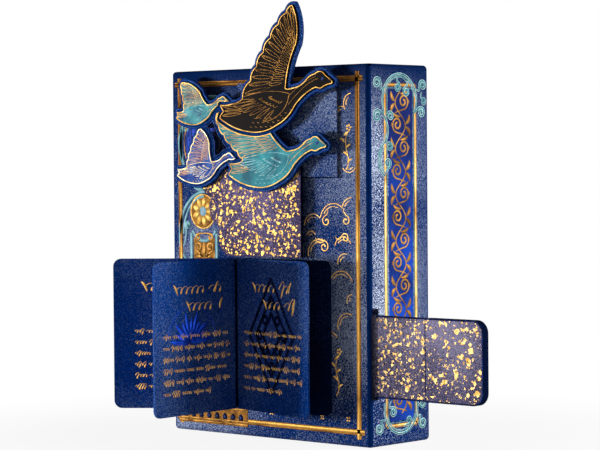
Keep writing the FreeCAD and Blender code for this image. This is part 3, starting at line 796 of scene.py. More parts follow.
def pillar_strokes(left, right, low, high, pitch=7.0):
    """Pairs of volutes with leaves between them, stacked up a narrow panel."""
    middle, half = (left + right) / 2, (right - left) / 2
    strokes = []
    count = round((high - low) / pitch)
    pitch = (high - low) / count
    for index in range(count):
        level = low + pitch * index
        half_strokes = [
            volute((middle, level), (middle + 0.55 * half, level + 0.52 * pitch),
                   0.36 * half, -60, 1.3, 1, swell=1.4),
            volute((middle, level + pitch), (middle + 0.62 * half, level + 0.86 * pitch),
                   0.24 * half, 80, 1.1, -1, swell=1.2),
            petal((middle + 0.15, level + 0.30 * pitch),
                  (middle + 0.80 * half, level + 0.18 * pitch), -0.25, 2.4)]
        strokes += half_strokes + mirrored(half_strokes, middle)
        strokes.append(petal((middle, level + 0.12 * pitch), (middle, level + 0.72 * pitch), 0.0, 3.2))
    return strokes


class DECK_OT_medallion(bpy.types.Operator):
    """Stamps the ring and the pillar of scrolls on the front"""
    bl_idname = "deck.medallion"
    bl_label = "Ring and Pillar"

    def execute(self, context):
        fine = settings("deck_foils").fine
        place = FACES["front"]
        x, z = RING_CENTRE
        foil_sheet("ring_disc", [disc(RING_CENTRE, RING_RADIUS - 2.0)], place, "blue_foil", 0.02)
        for name, step, foil, width, lift, slot in (
                ("ring_band", 0.0, "duck_egg_print", 1.4 * MM, 0.0, "teal_foil"),
                ("ring_light", 0.35, "deep_teal_foil", fine, 0.03, "pale_foil"),
                ("ring_inner_line", -1.5, "brass_foil", fine, 0.01, None)):
            ring = arc(RING_CENTRE, RING_RADIUS + step, *FULL_RING)
            foil_lines(name, [ring], place, foil, width, lift, closed=True)
        tracery = [arc(polar(RING_CENTRE, 3.4, math.tau * k / 6), 5.9, 0, 360) for k in range(6)]
        foil_lines("ring_tracery", tracery, place, "dark_line_foil", fine, 0.01)
        curls = [
            volute((x - 6.0, z + 10.2), (x - 10.4, z + 9.0), 1.5, 70, 1.3, 1),
            volute((x - 10.2, z + 5.6), (x - 9.6, z + 4.0), 1.2, 150, 1.2, -1)]
        foil_lines("ring_curls", curls, place, "teal_line_foil", 1.3 * fine)
        base = (x - 6.6, z - 9.7)
        arch = [
            bend(base, (base[0] - 0.4, base[1] - 2.4), (-22.2, 61.9), (-20.6, 61.8), (1.2, 0.8)),
            bend((-21.0, 61.4), (-25.5, 61.2), (-30.2, 57.6), (-30.5, 50.5)),
            bend((-22.0, 60.1), (-25.6, 59.6), (-28.9, 56.4), (-29.2, 50.5), (0.7, 0.7)),
            bend((-30.5, 50.5), (-30.7, 46.4), (-29.5, 44.4), (-27.2, 43.4), (1.0, 0.7)),
            volute((-29.3, 47.2), (-27.6, 52.6), 0.9, 200, 1.2, -1, 2.0, 0.9)]
        foil_lines("pillar_arch", arch, place, "duck_egg_print", 3.0 * fine)
        middle, half = (PILLAR_LEFT + PILLAR_RIGHT) / 2, (PILLAR_RIGHT - PILLAR_LEFT) / 2
        sides = [line((at, PILLAR_LOW), (at, PILLAR_TOP)) for at in (PILLAR_LEFT, PILLAR_RIGHT)]
        sides.append(arc((middle, PILLAR_TOP + 2.6), half, 205, 335, (0.8, 0.8)))
        foil_lines("pillar_sides", sides, place, "duck_egg_print", 3.6 * fine)
        left, right = PILLAR_LEFT + PILLAR_EDGE, PILLAR_RIGHT - PILLAR_EDGE
        grounds = [rectangle(left, PILLAR_LOW, right, PILLAR_TOP - 1.4), disc(FLOWER_CENTRE, FLOWER_RADIUS)]
        foil_sheet("pillar_ground", grounds, place, "umber_foil", 0.015)
        edges = [line((at, PILLAR_LOW), (at, PILLAR_TOP - 1.0)) for at in (left, right)]
        foil_lines("pillar_edges", edges, place, "brass_foil", fine)
        scrolls = pillar_strokes(left, right, PILLAR_LOW + 0.4, PILLAR_TOP)
        foil_lines("pillar_scrolls", scrolls, place, "brass_foil", 1.5 * fine)
        flower = rosette(FLOWER_CENTRE, 3.7, 9, 3.6)
        flower.append(arc(FLOWER_CENTRE, FLOWER_RADIUS, 20, 380, (0.9, 0.9)))
        foil_lines("pillar_rosette", flower, place, "gold_leaf", 1.4 * fine)
        jewel = disc(FLOWER_CENTRE, 1.15, 24)
        foil_sheet("pillar_jewel", [jewel], place, "jewel_print", 0.07)
        return {"FINISHED"}


# Clouds, sprigs and florets


def cloud_strokes(lobes):
    """Rounded lobes of a cloud, each with a shorter line inside it."""
    strokes = []
    for x, z, radius, start, end in lobes:
        strokes.append(arc((x, z), radius, start, end, (0.9, 0.9)))
        inset = 0.16 * (end - start)
        strokes.append(arc((x, z), radius - 0.75, start + inset, end - inset, (0.5, 0.9)))
    return strokes


def sprig_strokes(base, height):
    """A bent stem with buds and leaves."""
    x, z = base
    strokes = [bend(base, (x + 0.28 * height, z + 0.3 * height), (x - 0.22 * height, z + 0.6 * height),
                    (x + 0.1 * height, z + height), (1.0, 0.6))]
    for share, side in ((0.18, 1), (0.36, -1), (0.54, 1), (0.70, -1), (0.86, 1)):
        at = (x + 0.06 * height * math.sin(share * 6), z + share * height)
        strokes.append(petal(at, (at[0] + side * 0.16 * height, at[1] + 0.10 * height), side * 0.25, 2.2))
    strokes += rosette((x + 0.1 * height, z + height + 0.7), 0.9, 5, 1.8)
    return strokes


# Lobes of the clouds: across, up, radius, first and last angle
CLOUDS = [
    (15.3, 53.0, 2.9, 41, 176), (21.9, 54.2, 4.3, 47, 168), (27.6, 56.9, 3.0, 88, 172),
    (17.6, 50.6, 1.7, 200, 330), (14.6, 50.2, 1.5, 30, 160), (25.4, 44.2, 2.2, 70, 190),
    (27.6, 35.0, 1.6, 90, 200), (17.2, 46.2, 3.6, 60, 190), (24.9, 47.9, 2.6, 20, 170),
    (27.8, 82.6, 2.4, 95, 215), (24.6, 80.0, 1.9, 60, 205), (27.0, 68.4, 2.4, 215, 335),
    (18.0, 36.0, 3.4, 50, 190), (24.2, 38.4, 3.8, 20, 165), (26.0, 29.0, 3.0, 60, 200),
    (20.4, 24.6, 2.8, 30, 170)]


class DECK_OT_clouds(bpy.types.Operator):
    """Stamps clouds, sprigs and florets on the right of the front"""
    bl_idname = "deck.clouds"
    bl_label = "Clouds and Sprigs"

    def execute(self, context):
        fine = settings("deck_foils").fine
        strokes = cloud_strokes(CLOUDS)
        strokes += [
            volute((15.2, 49.6), (18.8, 48.0), 1.5, 100, 1.3, -1),
            volute((22.5, 50.4), (25.6, 50.2), 1.2, 150, 1.2, -1),
            volute((19.4, 57.2), (19.6, 54.2), 1.3, 120, 1.1, 1),
            volute((25.4, 57.4), (25.8, 54.4), 1.2, 60, 1.1, -1)]
        strokes += sprig_strokes((26.0, 66.6), 9.5) + sprig_strokes((22.4, 12.0), 10.0)
        for index in range(4):
            strokes += rosette((1.0 + 8.4 * index, 6.5), 0.75, 4, 1.6, 45)
        foil_lines("front_clouds", strokes, FACES["front"], "page_gold_foil", 0.75 * fine)
        return {"FINISHED"}


# Gold bar at the foot of the front

BAR = (-31.3, 2.2, -7.1, 7.0)
LOZENGES = 8


class DECK_OT_foot_bar(bpy.types.Operator):
    """Stamps the plain gold bar with its row of lozenges"""
    bl_idname = "deck.foot_bar"
    bl_label = "Foot Bar"

    def execute(self, context):
        fine = settings("deck_foils").fine
        left, low, right, high = BAR
        place = FACES["front"]
        foil_sheet("foot_bar", [rectangle(*BAR)], place, "umber_foil", 0.05)
        pitch = (right - left - 2.0) / LOZENGES
        middle = (low + high) / 2 - 0.3
        across = [left + 1.0 + pitch * (i + 0.5) for i in range(LOZENGES)]
        lozenges = [petal((x, middle - 1.1), (x, middle + 1.1), 0, 5.2) for x in across]
        foil_lines("foot_bar_lozenges", lozenges, place, "dark_line_foil", fine, 0.03)
        edges = [line((left, z), (right, z)) for z in (low + 0.5, low + 1.2, high - 0.5)]
        foil_lines("foot_bar_edges", edges, place, "brass_foil", 1.6 * fine, 0.04)
        return {"FINISHED"}


# Spine: band, vine and scrolls on the narrow sides

SPINE_LEFT = -5.3
SPINE_RIGHT = 6.1
SPINE_LOW = 4.6
SPINE_TOP = 87.0
BAND_MARGIN = 1.15
INNER_MARGIN = 0.75
VINE_LOW = 7.5
VINE_TOP = 85.5
VINE_WAVES = 7
CREST_TOP = 89.7


def spine_panel(inset=0.0):
    """Corners of the frame on a narrow side, set in by a margin."""
    return rectangle(SPINE_LEFT + inset, SPINE_LOW + inset, SPINE_RIGHT - inset, SPINE_TOP - inset)


def vine_strokes(middle, low, high, swing, pitch):
    """A waving stem whose bends are filled by large volutes, leaves and buds."""
    count = int((high - low) / 0.5)
    levels = [low + (high - low) * index / count for index in range(count + 1)]
    strokes = [[(middle + swing * math.sin(math.tau * (z - low) / pitch), z, 1.0) for z in levels]]
    bends = int(2 * (high - low) / pitch)
    for index in range(bends):
        z = low + pitch * (index + 0.5) / 2
        side = 1 if index % 2 == 0 else -1
        crest = middle + side * swing
        eye = (middle - side * 1.2, z + 0.3)
        start = -100 if side == 1 else 280
        strokes.append(volute((crest, z - 2.4), eye, 1.9, start, 1.5, -side, 1.1, 1.15))
        strokes.append(petal((crest, z + 0.4), (crest + side * 1.5, z + 2.8), -side * 0.35, 2.6))
        strokes.append(petal((crest, z - 0.2), (crest + side * 1.6, z - 2.4), side * 0.35, 2.6))
        strokes.append(petal((middle, z + 2.3), (middle - side * 2.9, z + 3.3), side * 0.3, 2.2))
        strokes += rosette((middle - side * 3.0, z + 0.3), 0.55, 5, 0.7)
    return strokes


def crest_strokes(middle, high):
    """An arched ring with volutes at its shoulders and a scroll down one side."""
    centre = (middle - 0.3, high - 6.4)
    return [
        arc(centre, 6.4, -28, 205), arc(centre, 5.7, 10, 165, (0.6, 0.6)),
        volute((centre[0] - 5.3, centre[1] + 3.6), (-8.3, high - 2.3), 1.45, -10, 1.3, 1),
        volute((centre[0] - 5.8, centre[1] - 2.7), (-8.2, high - 10.2), 1.5, 60, 1.3, 1),
        volute((centre[0] + 5.4, centre[1] + 3.4), (9.0, high - 2.6), 1.3, 190, 1.3, -1),
        volute((centre[0] + 5.7, centre[1] - 3.0), (8.4, high - 9.2), 1.3, 120, 1.3, -1),
        volute((8.6, high - 4.2), (9.3, high - 6.6), 0.8, 100, 1.1, -1),
        volute((middle, high - 0.4), (middle - 1.0, high - 3.2), 1.1, 60, 1.2, -1),
        volute((middle + 1.0, high - 0.8), (middle + 2.4, high - 4.2), 1.2, 110, 1.2, 1),
        volute((centre[0] - 4.6, centre[1] - 2.0), (centre[0] - 3.4, centre[1] - 3.8), 1.1, 150, 1.2, -1),
        bend((-5.8, high - 10.0), (-3.6, high - 12.8), (-4.0, high - 15.4), (-6.0, high - 17.0)),
        bend((-6.0, high - 17.0), (-8.6, high - 19.4), (-8.2, high - 23.4), (-5.4, high - 24.6)),
        bend((-6.2, high - 17.6), (-7.4, high - 19.6), (-7.3, high - 22.4), (-5.6, high - 23.6), (0.6, 0.6)),
        volute((-5.4, high - 24.6), (-4.4, high - 21.6), 1.2, -60, 1.2, 1),
        volute((-5.2, high - 14.4), (-3.6, high - 17.6), 1.0, 110, 1.2, -1)]


def foot_strokes(middle):
    """The lower ring with volutes at its sides."""
    centre = (middle - 0.3, 8.8)
    return [
        arc(centre, 6.2, 165, 375), arc(centre, 5.5, 200, 340, (0.6, 0.6)),
        volute((centre[0] - 5.4, centre[1] - 3.0), (-8.2, 4.4), 1.4, 30, 1.3, -1),
        volute((centre[0] + 5.4, centre[1] - 3.0), (8.3, 4.6), 1.4, 150, 1.3, 1),
        volute((centre[0] + 5.9, centre[1] + 1.2), (8.3, 9.4), 1.1, 230, 1.2, 1),
        volute((centre[0] - 3.6, 10.8), (-3.0, 8.0), 1.2, 100, 1.3, -1),
        volute((middle + 1.0, 4.0), (middle + 2.6, 5.6), 1.0, -90, 1.2, 1)]


class DECK_OT_spine(bpy.types.Operator):
    """Stamps the band, vine, frame and scrolls on both narrow sides"""
    bl_idname = "deck.spine"
    bl_label = "Spines"

    def execute(self, context):
        foils = settings("deck_foils")
        middle = (SPINE_LEFT + SPINE_RIGHT) / 2
        vine = vine_strokes(middle, VINE_LOW, VINE_TOP, 1.9, (VINE_TOP - VINE_LOW) / VINE_WAVES)
        scrolls = crest_strokes(middle, CREST_TOP) + foot_strokes(middle)
        for face in ("right", "left"):
            place = FACES[face]
            foil_sheet(f"{face}_band", [spine_panel(BAND_MARGIN)], place, "blue_foil", 0.015)
            for name, strokes, foil, width, lift, slot in (
                    ("frame", outline(spine_panel()), "side_gold_foil", 0.75 * foils.line, 0.0, None),
                    ("frame_inner", outline(spine_panel(INNER_MARGIN)), "teal_line_foil", 0.6 * foils.fine,
                     0.0, "teal_foil"),
                    ("vine", vine, "brass_foil", 1.2 * foils.fine, 0.01, None),
                    ("scrolls", scrolls, "pearl_teal_foil", 2.0 * foils.fine, 0.02, "pale_foil"),
                    ("scroll_cores", scrolls, "deep_teal_foil", 1.1 * foils.fine, 0.04, "teal_foil")):
                foil_lines(f"{face}_{name}", strokes, place, foil, width, lift)
        return {"FINISHED"}


# Back of the case

BACK_DISC = 14.0
BACK_RING = 15.5
# Reach, number, fatness and first angle of the petals in each row
BACK_PETALS = ((9.0, 12, 5.0, 0), (12.6, 12, 3.0, 15))
CORNER_INSET = 1.8


class DECK_OT_back_face(bpy.types.Operator):
    """Stamps a ring, a rosette and corner scrolls on the back"""
    bl_idname = "deck.back_face"
    bl_label = "Back Face"

    def execute(self, context):
        fine = settings("deck_foils").fine
        place = FACES["back"]
        centre = (0.0, CASE_TOP / 2)
        foil_sheet("back_disc", [disc(centre, BACK_DISC)], place, "blue_foil", 0.02)
        foil_lines("back_ring", [arc(centre, BACK_RING, *FULL_RING)], place, "teal_line_foil", 1.0 * MM,
                   closed=True)
        strokes = [stroke for row in BACK_PETALS for stroke in rosette(centre, *row)]
        corner = [
            volute((0, 9), (3.4, 4.2), 2.2, 110, 1.4, -1),
            volute((9, 0), (4.6, 3.2), 0.01, 0, 0.1, 1),
            petal((1.0, 9.6), (5.4, 11.8), -0.2, 3.6), petal((9.6, 1.0), (11.8, 5.4), 0.2, 3.6),
            volute((9, 0), (9.4, 4.0), 1.6, -20, 1.2, 1)]
        low_corner = moved(corner, (BORDER_LEFT + CORNER_INSET - HALF_WIDTH, BORDER_LOW + CORNER_INSET))
        low_corner += mirrored(low_corner)
        strokes += low_corner + upended(low_corner, (BORDER_LOW + CASE_TOP - BORDER_TOP) / 2)
        foil_lines("back_scrolls", strokes, place, "gold_foil", 1.3 * fine, 0.02)
        return {"FINISHED"}


# Gold flecks


def face_mesh(node, out, beyond=None):
    """Copy of a node's faces that look one way, with doubles merged."""
    shape = bmesh.new()
    shape.from_mesh(NODES[node].data)
    bmesh.ops.remove_doubles(shape, verts=shape.verts, dist=1e-6)
    shape.normal_update()
    bmesh.ops.delete(shape, geom=[f for f in shape.faces if f.normal.dot(out) < 0.95], context="FACES")
    if beyond is not None:
        bmesh.ops.bisect_plane(shape, geom=shape.verts[:] + shape.edges[:] + shape.faces[:],
                               plane_co=(beyond, 0, 0), plane_no=(-1, 0, 0), clear_outer=True)
    return new_mesh(node + "_face", shape)


# Sizes of the flecks in millimetres
FLECK_SMALLEST = 0.13
FLECK_HEIGHT = 0.05
FLECK_RAGGED = 0.20
# Node, body, the way its face looks, flecks per square metre, largest fleck in millimetres, how much
# thicker they lie at the foot, and seed
FLECKED = (
    ("spatter_bridge", "case", -DEPTH, 1.75e6, 0.58, 0.4, 3),
    ("pull_strip", "strip", -DEPTH, 1.4e6, 0.52, 0.0, 11),
    ("grip_front", "strip", -DEPTH, 0.9e6, 0.80, 0.0, 19),
    ("grip_back", "strip", DEPTH, 0.9e6, 0.80, 0.0, 23))
PAST_SLOT = SIDE_HIGH.x + 0.4 * MM
EDGE_LINE = 0.40 * MM


class DECK_OT_flecks(bpy.types.Operator):
    """Scatters gold leaf over the bridge, the pull strip and its grips, and draws dark lines along the edges
    of the strip and its grips
    """
    bl_idname = "deck.flecks"
    bl_label = "Gold Flecks"

    def execute(self, context):
        for node, body, out, density, largest, lean, seed in FLECKED:
            low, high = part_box(node)
            face = face_mesh(node, out, PAST_SLOT if node == "pull_strip" else None)
            settle(grow(node + "_flecks", face, fleck_tree(), {
                "Density": density, "Smallest": FLECK_SMALLEST * MM, "Largest": largest * MM,
                "Height": FLECK_HEIGHT * MM, "Ragged": FLECK_RAGGED * MM,
                "Low": low.z, "High": high.z, "Lean": lean, "Seed": seed,
                "Material": finish("gold_leaf" if body == "case" else "pale_leaf")}), body)
        for node, hand in (("grip_front", 1), ("grip_back", -1)):
            low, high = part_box(node)
            place = face_place(Vector((0, low.y if hand == 1 else high.y, 0)), hand * ACROSS, UP)
            fold, middle = low.x / MM + 0.15, (low.x + high.x) / 2 / MM
            rim = inset_loop(max(front_loops(node, -hand * DEPTH), key=len), 0.2)
            first = next(i for i, spot in enumerate(rim) if spot[0] > middle >= rim[i - 1][0])
            rim = [spot for spot in rim[first:] + rim[:first] if spot[0] > middle]
            ends = rim[0][1], rim[-1][1]
            rim = [(fold, ends[0], 1.0), *rim, (fold, ends[1], 1.0)]
            edge = [[(hand * x, z, swell) for x, z, swell in rim]]
            edge.append(line((hand * fold, ends[0]), (hand * fold, ends[1]), 0.65))
            foil_lines(node + "_edge", edge, place, "dark_line_foil", EDGE_LINE, body="strip")
            if hand == 1:
                arm = [line((PAST_SLOT / MM, z), (fold, z)) for z in ends]
                foil_lines("pull_strip_edge", arm, node_front("pull_strip"), "dark_line_foil", EDGE_LINE,
                           body="strip")
        return {"FINISHED"}


# Birds

BODY_LINES = [
    bend((0.62, 0.05), (0.72, 0.14), (0.80, 0.195), (0.88, 0.21), (1.0, 0.5)),
    bend((0.62, 0.10), (0.70, 0.165), (0.78, 0.20), (0.86, 0.225), (0.6, 0.4)),
    line((0.925, 0.176), (0.985, 0.186), 0.8)]
# Root, wrist and tip of the far wing, and the notches of its rear edge, as shares of the bird's length
WINGS = {
    "dark_bird": ((0.60, 0.155), (0.695, 0.440), (0.664, 0.690), (
        (0.605, 0.643), (0.535, 0.572), (0.465, 0.487), (0.400, 0.396), (0.340, 0.305), (0.285, 0.213),
        (0.21, 0.100))),
    "teal_bird": ((0.60, 0.155), (0.40, 0.350), (-0.12, 0.450), (
        (-0.105, 0.350), (-0.045, 0.275), (0.025, 0.205), (0.095, 0.150), (0.15, 0.090))),
    "white_bird": ((0.60, 0.155), (0.57, 0.370), (0.42, 0.560), (
        (0.345, 0.480), (0.285, 0.385), (0.235, 0.285), (0.195, 0.190), (0.17, 0.095))),
    "pale_bird": ((0.60, 0.155), (0.47, 0.320), (0.12, 0.470), (
        (0.105, 0.365), (0.130, 0.270), (0.155, 0.180), (0.15, 0.090)))}
# Length and place of the tail of each bird, in millimetres
BIRD_PLACES = {
    "dark_bird": (37.7, (-12.5, 80.7)), "teal_bird": (32.5, (-9.5, 66.4)),
    "pale_bird": (18.5, (-27.8, 80.4)), "white_bird": (20.5, (-27.6, 65.8))}
# Foils of the rim, the wing and the body, and the pen as a share of a fine line
BIRD_FOILS = {
    "dark_bird": ("gold_foil", "brass_foil", "brass_foil", 0.40),
    "teal_bird": ("gold_foil", "gold_foil", "pale_teal_foil", 0.30),
    "pale_bird": ("gold_foil", "gold_foil", "pale_teal_foil", 0.24),
    "white_bird": ("pale_line_foil", "gold_foil", "pale_line_foil", 0.30)}
# Place of the eye and radius of its pupil, as shares of the bird's length
BIRD_EYE = (0.915, 0.208)
PUPIL = 0.011
# Outlines with no more points than this are slivers
SMALLEST_LOOP = 5


def feather(start, end, half, shaft=True):
    """The outline of one long feather, with its shaft."""
    run = (end[0] - start[0], end[1] - start[1])
    span = math.hypot(*run)
    side = (-run[1] / span * half, run[0] / span * half)
    edges = []
    for sign in (1, -1):
        first, second = [
            [start[axis] + share * run[axis] + sign * side[axis] for axis in (0, 1)]
            for share in (0.35, 0.85)]
        edges.append(bend(start, first, second, end, (0.6, 1.0)))
    return edges + ([bend(start, first, blend_point(start, end, 0.7), end, (0.3, 0.6))] if shaft else [])


def wing_strokes(root, wrist, tip, notches):
    """Flight feathers that fan from the arm to the scalloped rear edge, with coverts and a front edge."""
    strokes = []
    ends = [tip, *notches]
    count = len(ends) - 1

    def ray(share):
        """Points on the arm and on the rear edge at a share of the way from tip to body."""
        gap = min(int(share * count), count - 1)
        rear = blend_point(ends[gap], ends[gap + 1], share * count - gap)
        return blend_point(wrist, root, 0.92 * share), rear

    for index in range(2 * count):
        arm, rear = ray((index + 0.5) / (2 * count))
        strokes += feather(blend_point(arm, rear, 0.40), blend_point(arm, rear, 0.98), 0.015, index % 2 == 0)
    for index in range(2 * count - 1):
        arm, rear = ray((index + 1.0) / (2 * count))
        strokes += feather(blend_point(arm, rear, 0.12), blend_point(arm, rear, 0.44), 0.011, False)
    strokes.append(bend(root, blend_point(root, wrist, 0.7), wrist, blend_point(wrist, tip, 0.9), (1.0, 0.6)))
    return strokes


def near_wing_strokes():
    """The wing on the near side, laid back along the body: a fan of feathers below rows of scallops."""
    shoulder = (0.63, 0.120)
    count = 7
    ends = []
    for index in range(count):
        share = index / (count - 1)
        ends.append((0.10 + 0.30 * share ** 1.3, 0.070 - 0.125 * share))
    strokes = []
    for end in ends:
        strokes += feather(blend_point(shoulder, end, 0.58), end, 0.012, False)
    for row in (0.28, 0.44):
        for left, right in zip(ends, ends[1:]):
            near = blend_point(shoulder, left, row), blend_point(shoulder, right, row)
            far = blend_point(shoulder, left, row + 0.10), blend_point(shoulder, right, row + 0.10)
            strokes.append(bend(near[0], far[0], far[1], near[1]))
    strokes.append(bend(ends[0], (0.24, 0.125), (0.46, 0.165), shoulder, (0.8, 1.2)))
    strokes.append(bend(ends[-1], (0.50, -0.06), (0.62, 0.02), shoulder, (0.8, 1.2)))
    return strokes


def breast_strokes():
    """Short marks in staggered rows under the neck and along the belly."""
    strokes = []
    for row in range(3):
        for step in range(9):
            x = 0.30 + 0.045 * step + 0.02 * row
            z = -0.092 + 0.028 * row + 0.55 * max(0.0, x - 0.50) ** 1.3
            strokes.append(petal((x, z), (x - 0.022, z + 0.006), 0.2, 0.8))
    return strokes


def tail_strokes():
    return [*feather((0.20, 0.03), (0.03, 0.052), 0.012), *feather((0.20, 0.00), (0.03, -0.012), 0.012),
            *feather((0.22, 0.015), (0.05, 0.020), 0.010)]


def front_loops(node, out=-DEPTH):
    """Outlines of a node's front, or back, as closed lists of points in millimetres."""
    mesh = face_mesh(node, out)
    shape = bmesh.new()
    shape.from_mesh(mesh)
    bpy.data.meshes.remove(mesh)
    left = {e for e in shape.edges if e.is_boundary}
    loops = []
    while left:
        edge = left.pop()
        ring = [edge.verts[0], edge.verts[1]]
        while True:
            step = next((e for e in ring[-1].link_edges if e in left), None)
            if step is None:
                break
            left.remove(step)
            ring.append(step.other_vert(ring[-1]))
        if ring[-1] is ring[0]:
            ring.pop()
        loops.append([(v.co.x / MM, v.co.z / MM) for v in ring])
    shape.free()
    return loops


def within(spot, loops):
    """True inside the outlines, by counting crossings."""
    x, z = spot
    inside = False
    for loop in loops:
        for (ax, az), (bx, bz) in neighbours(loop):
            if (az > z) != (bz > z) and x < ax + (bx - ax) * (z - az) / (bz - az):
                inside = not inside
    return inside


def inset_loop(loop, inset):
    """The outline moved inwards, for a line that runs along the edge."""
    area = sum(a[0] * b[1] - b[0] * a[1] for a, b in neighbours(loop))
    hand = 1 if area > 0 else -1
    made = []
    for before, at, after in zip(loop[-1:] + loop[:-1], loop, loop[1:] + loop[:1]):
        along = Vector((after[0] - before[0], after[1] - before[1]))
        if along.length < 1e-6:
            continue
        along.normalize()
        made.append((at[0] - hand * along.y * inset, at[1] + hand * along.x * inset, 1.0))
    return made


def clipped(strokes, loops):
    """The runs of each stroke that lie inside the outlines."""
    runs = []
    for stroke in strokes:
        for inside, run in itertools.groupby(stroke, lambda spot: within(spot[:2], loops)):
            run = list(run)
            if inside and len(run) > 2:
                runs.append(run)
    return runs


class DECK_OT_flock(bpy.types.Operator):
    """Stamps outlines, feathers and eyes on the birds"""
    bl_idname = "deck.flock"
    bl_label = "Flock"

    def execute(self, context):
        fine = settings("deck_foils").fine
        for node, (size, tail) in BIRD_PLACES.items():
            rim_foil, wing_foil, body_foil, pen = BIRD_FOILS[node]
            place = node_front(node)
            loops = front_loops(node)
            rims = [inset_loop(loop, 0.2) for loop in loops if len(loop) > SMALLEST_LOOP]
            foil_lines(node + "_rim", rims, place, rim_foil, 0.9 * fine, body="flock", closed=True)
            wing = wing_strokes(*WINGS[node]) + tail_strokes() + BODY_LINES
            feathers = near_wing_strokes() + breast_strokes()
            for part, strokes, foil, lift in (
                    ("wing", wing, wing_foil, 0.005), ("feathers", feathers, body_foil, 0.008)):
                drawn = clipped(moved(strokes, tail, size), loops)
                foil_lines(f"{node}_{part}", drawn, place, foil, pen * fine, lift, "flock")
            eye = (tail[0] + BIRD_EYE[0] * size, tail[1] + BIRD_EYE[1] * size)
            if within(eye, loops):
                pupil = disc(eye, PUPIL * size, 16)
                foil_sheet(node + "_eye", [pupil], place, "dark_line_foil", 0.05, "flock")
        place = node_front("flock_board")
        margins = [inset_loop(loop, 0.35) for loop in front_loops("flock_board") if len(loop) > SMALLEST_LOOP]
        foil_lines("flock_margin_lines", margins, place, "navy_line_foil", 0.4 * fine, body="flock",
                   closed=True)
        # A dark line along the foot of the plate, painted shadow under its lower edge.
        low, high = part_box("carriage_plate")
        place = node_front("carriage_plate")
        foot = low.z / MM + 0.12
        edge = [line((low.x / MM + 0.5, foot), (high.x / MM - 0.3, foot))]
        foil_lines("carriage_plate_edge", edge, place, "dark_line_foil", 0.25 * MM, -0.03, "flock")
        return {"FINISHED"}


# Pages

# Heights and margins in millimetres from a page's lower left corner
ROWS = 6
FIRST_ROW = 19.4
ROW_PITCH = 2.78
ROW_HEIGHT = 0.70
ROW_LEFT = 3.4
THIRD_LEAF_ROW_LEFT = 5.6
ROW_RIGHT = 2.4
LAST_ROW_RIGHT = 10.0
HEADING_LEVEL = 30.6
HEADING_HEIGHT = 1.9
GUTTER_INSET = 0.17
GUTTER_ENDS = (0.4, 37.3)
FAN_LEVEL = 17.6
LATTICE_LEVEL = 19.0


def wave_row(left, right, level, tall, seed):
    """A row of slanting loops in short runs, as a pen tries its nib; it spells nothing."""
    chance = random.Random(seed)
    strokes = []
    x = left
    while x < right - 1.0:
        run = min(chance.uniform(2.6, 5.6) * tall, right - x)
        pitch = chance.uniform(0.85, 1.15) * tall
        turns = max(2, round(run / pitch))
        reach = [tall * chance.choice((0.42, 0.42, 0.50, 1.10)) for _ in range(turns + 1)]
        stroke = []
        for index in range(10 * turns + 1):
            turned = index / 10
            swing = reach[int(turned)] * math.sin(math.tau * turned)
            along = x + pitch * turned + 0.45 * swing - 0.30 * pitch * math.cos(math.tau * turned)
            stroke.append((along, level + swing, 0.75 + 0.45 * math.cos(math.tau * turned + 1.0)))
        strokes.append(stroke)
        x += turns * pitch + 1.15 * tall
    return strokes


def heading_strokes(left, level, seed):
    """Two rows of tall loops, the second set in, each between two leaves."""
    strokes = []
    for inset, lift, wide in ((0.0, 0.0, 15.0), (4.6, -4.1, 12.0)):
        start, end, height = left + inset, left + inset + wide, level + lift
        strokes += wave_row(start + 1.6, end, height, HEADING_HEIGHT, seed + wide)
        strokes.append(petal((start, height + 1.4), (start + 1.5, height - 1.2), 0.2, 2.0))
        strokes.append(petal((end + 0.6, height - 1.0), (end + 1.8, height + 1.8), 0.2, 2.0))
    return strokes


def fan_motif(middle, level):
    """A fan of long petals."""
    strokes = []
    for index in range(11):
        angle = math.radians(5 + 17 * index)
        reach = 8.0 if index % 2 == 0 else 6.4
        strokes.append(petal((middle, level), polar((middle, level), reach, angle), 0.05, 6.4))
    strokes += [arc((middle, level), 1.4, 0, 360), arc((middle, level), 9.0, 10, 170)]
    return strokes


def lattice_motif(middle, level):
    """Nested lozenges with small rings at their corners."""
    strokes = []
    for wide, tall in ((9.4, 14.2), (6.6, 10.0), (3.6, 5.6)):
        corners = ((-wide, 0), (0, tall), (wide, 0), (0, -tall))
        strokes += outline([(middle + x, level + z) for x, z in corners], 1.5)
    for x, z in (
            (-5.0, 0), (5.0, 0), (0, 7.6), (0, -7.6), (-2.6, 3.8), (2.6, 3.8), (-2.6, -3.8), (2.6, -3.8)):
        strokes.append(arc((middle + x, level + z), 0.9, 0, 360, (1.3, 1.3)))
    return strokes


# Node, body, whether the page is on the leaf's other side, and motif
PAGES = (
    ("booklet_base_leaf", "case", False, "lattice"),
    ("booklet_first_leaf", "first_leaf", False, "lattice"),
    ("booklet_first_leaf", "first_leaf", True, "fan"),
    ("booklet_second_leaf", "second_leaf", False, "lattice"),
    ("booklet_second_leaf", "second_leaf", True, "fan"),
    ("booklet_third_leaf", "third_leaf", False, "bare"),
    ("booklet_third_leaf", "third_leaf", True, "fan"))


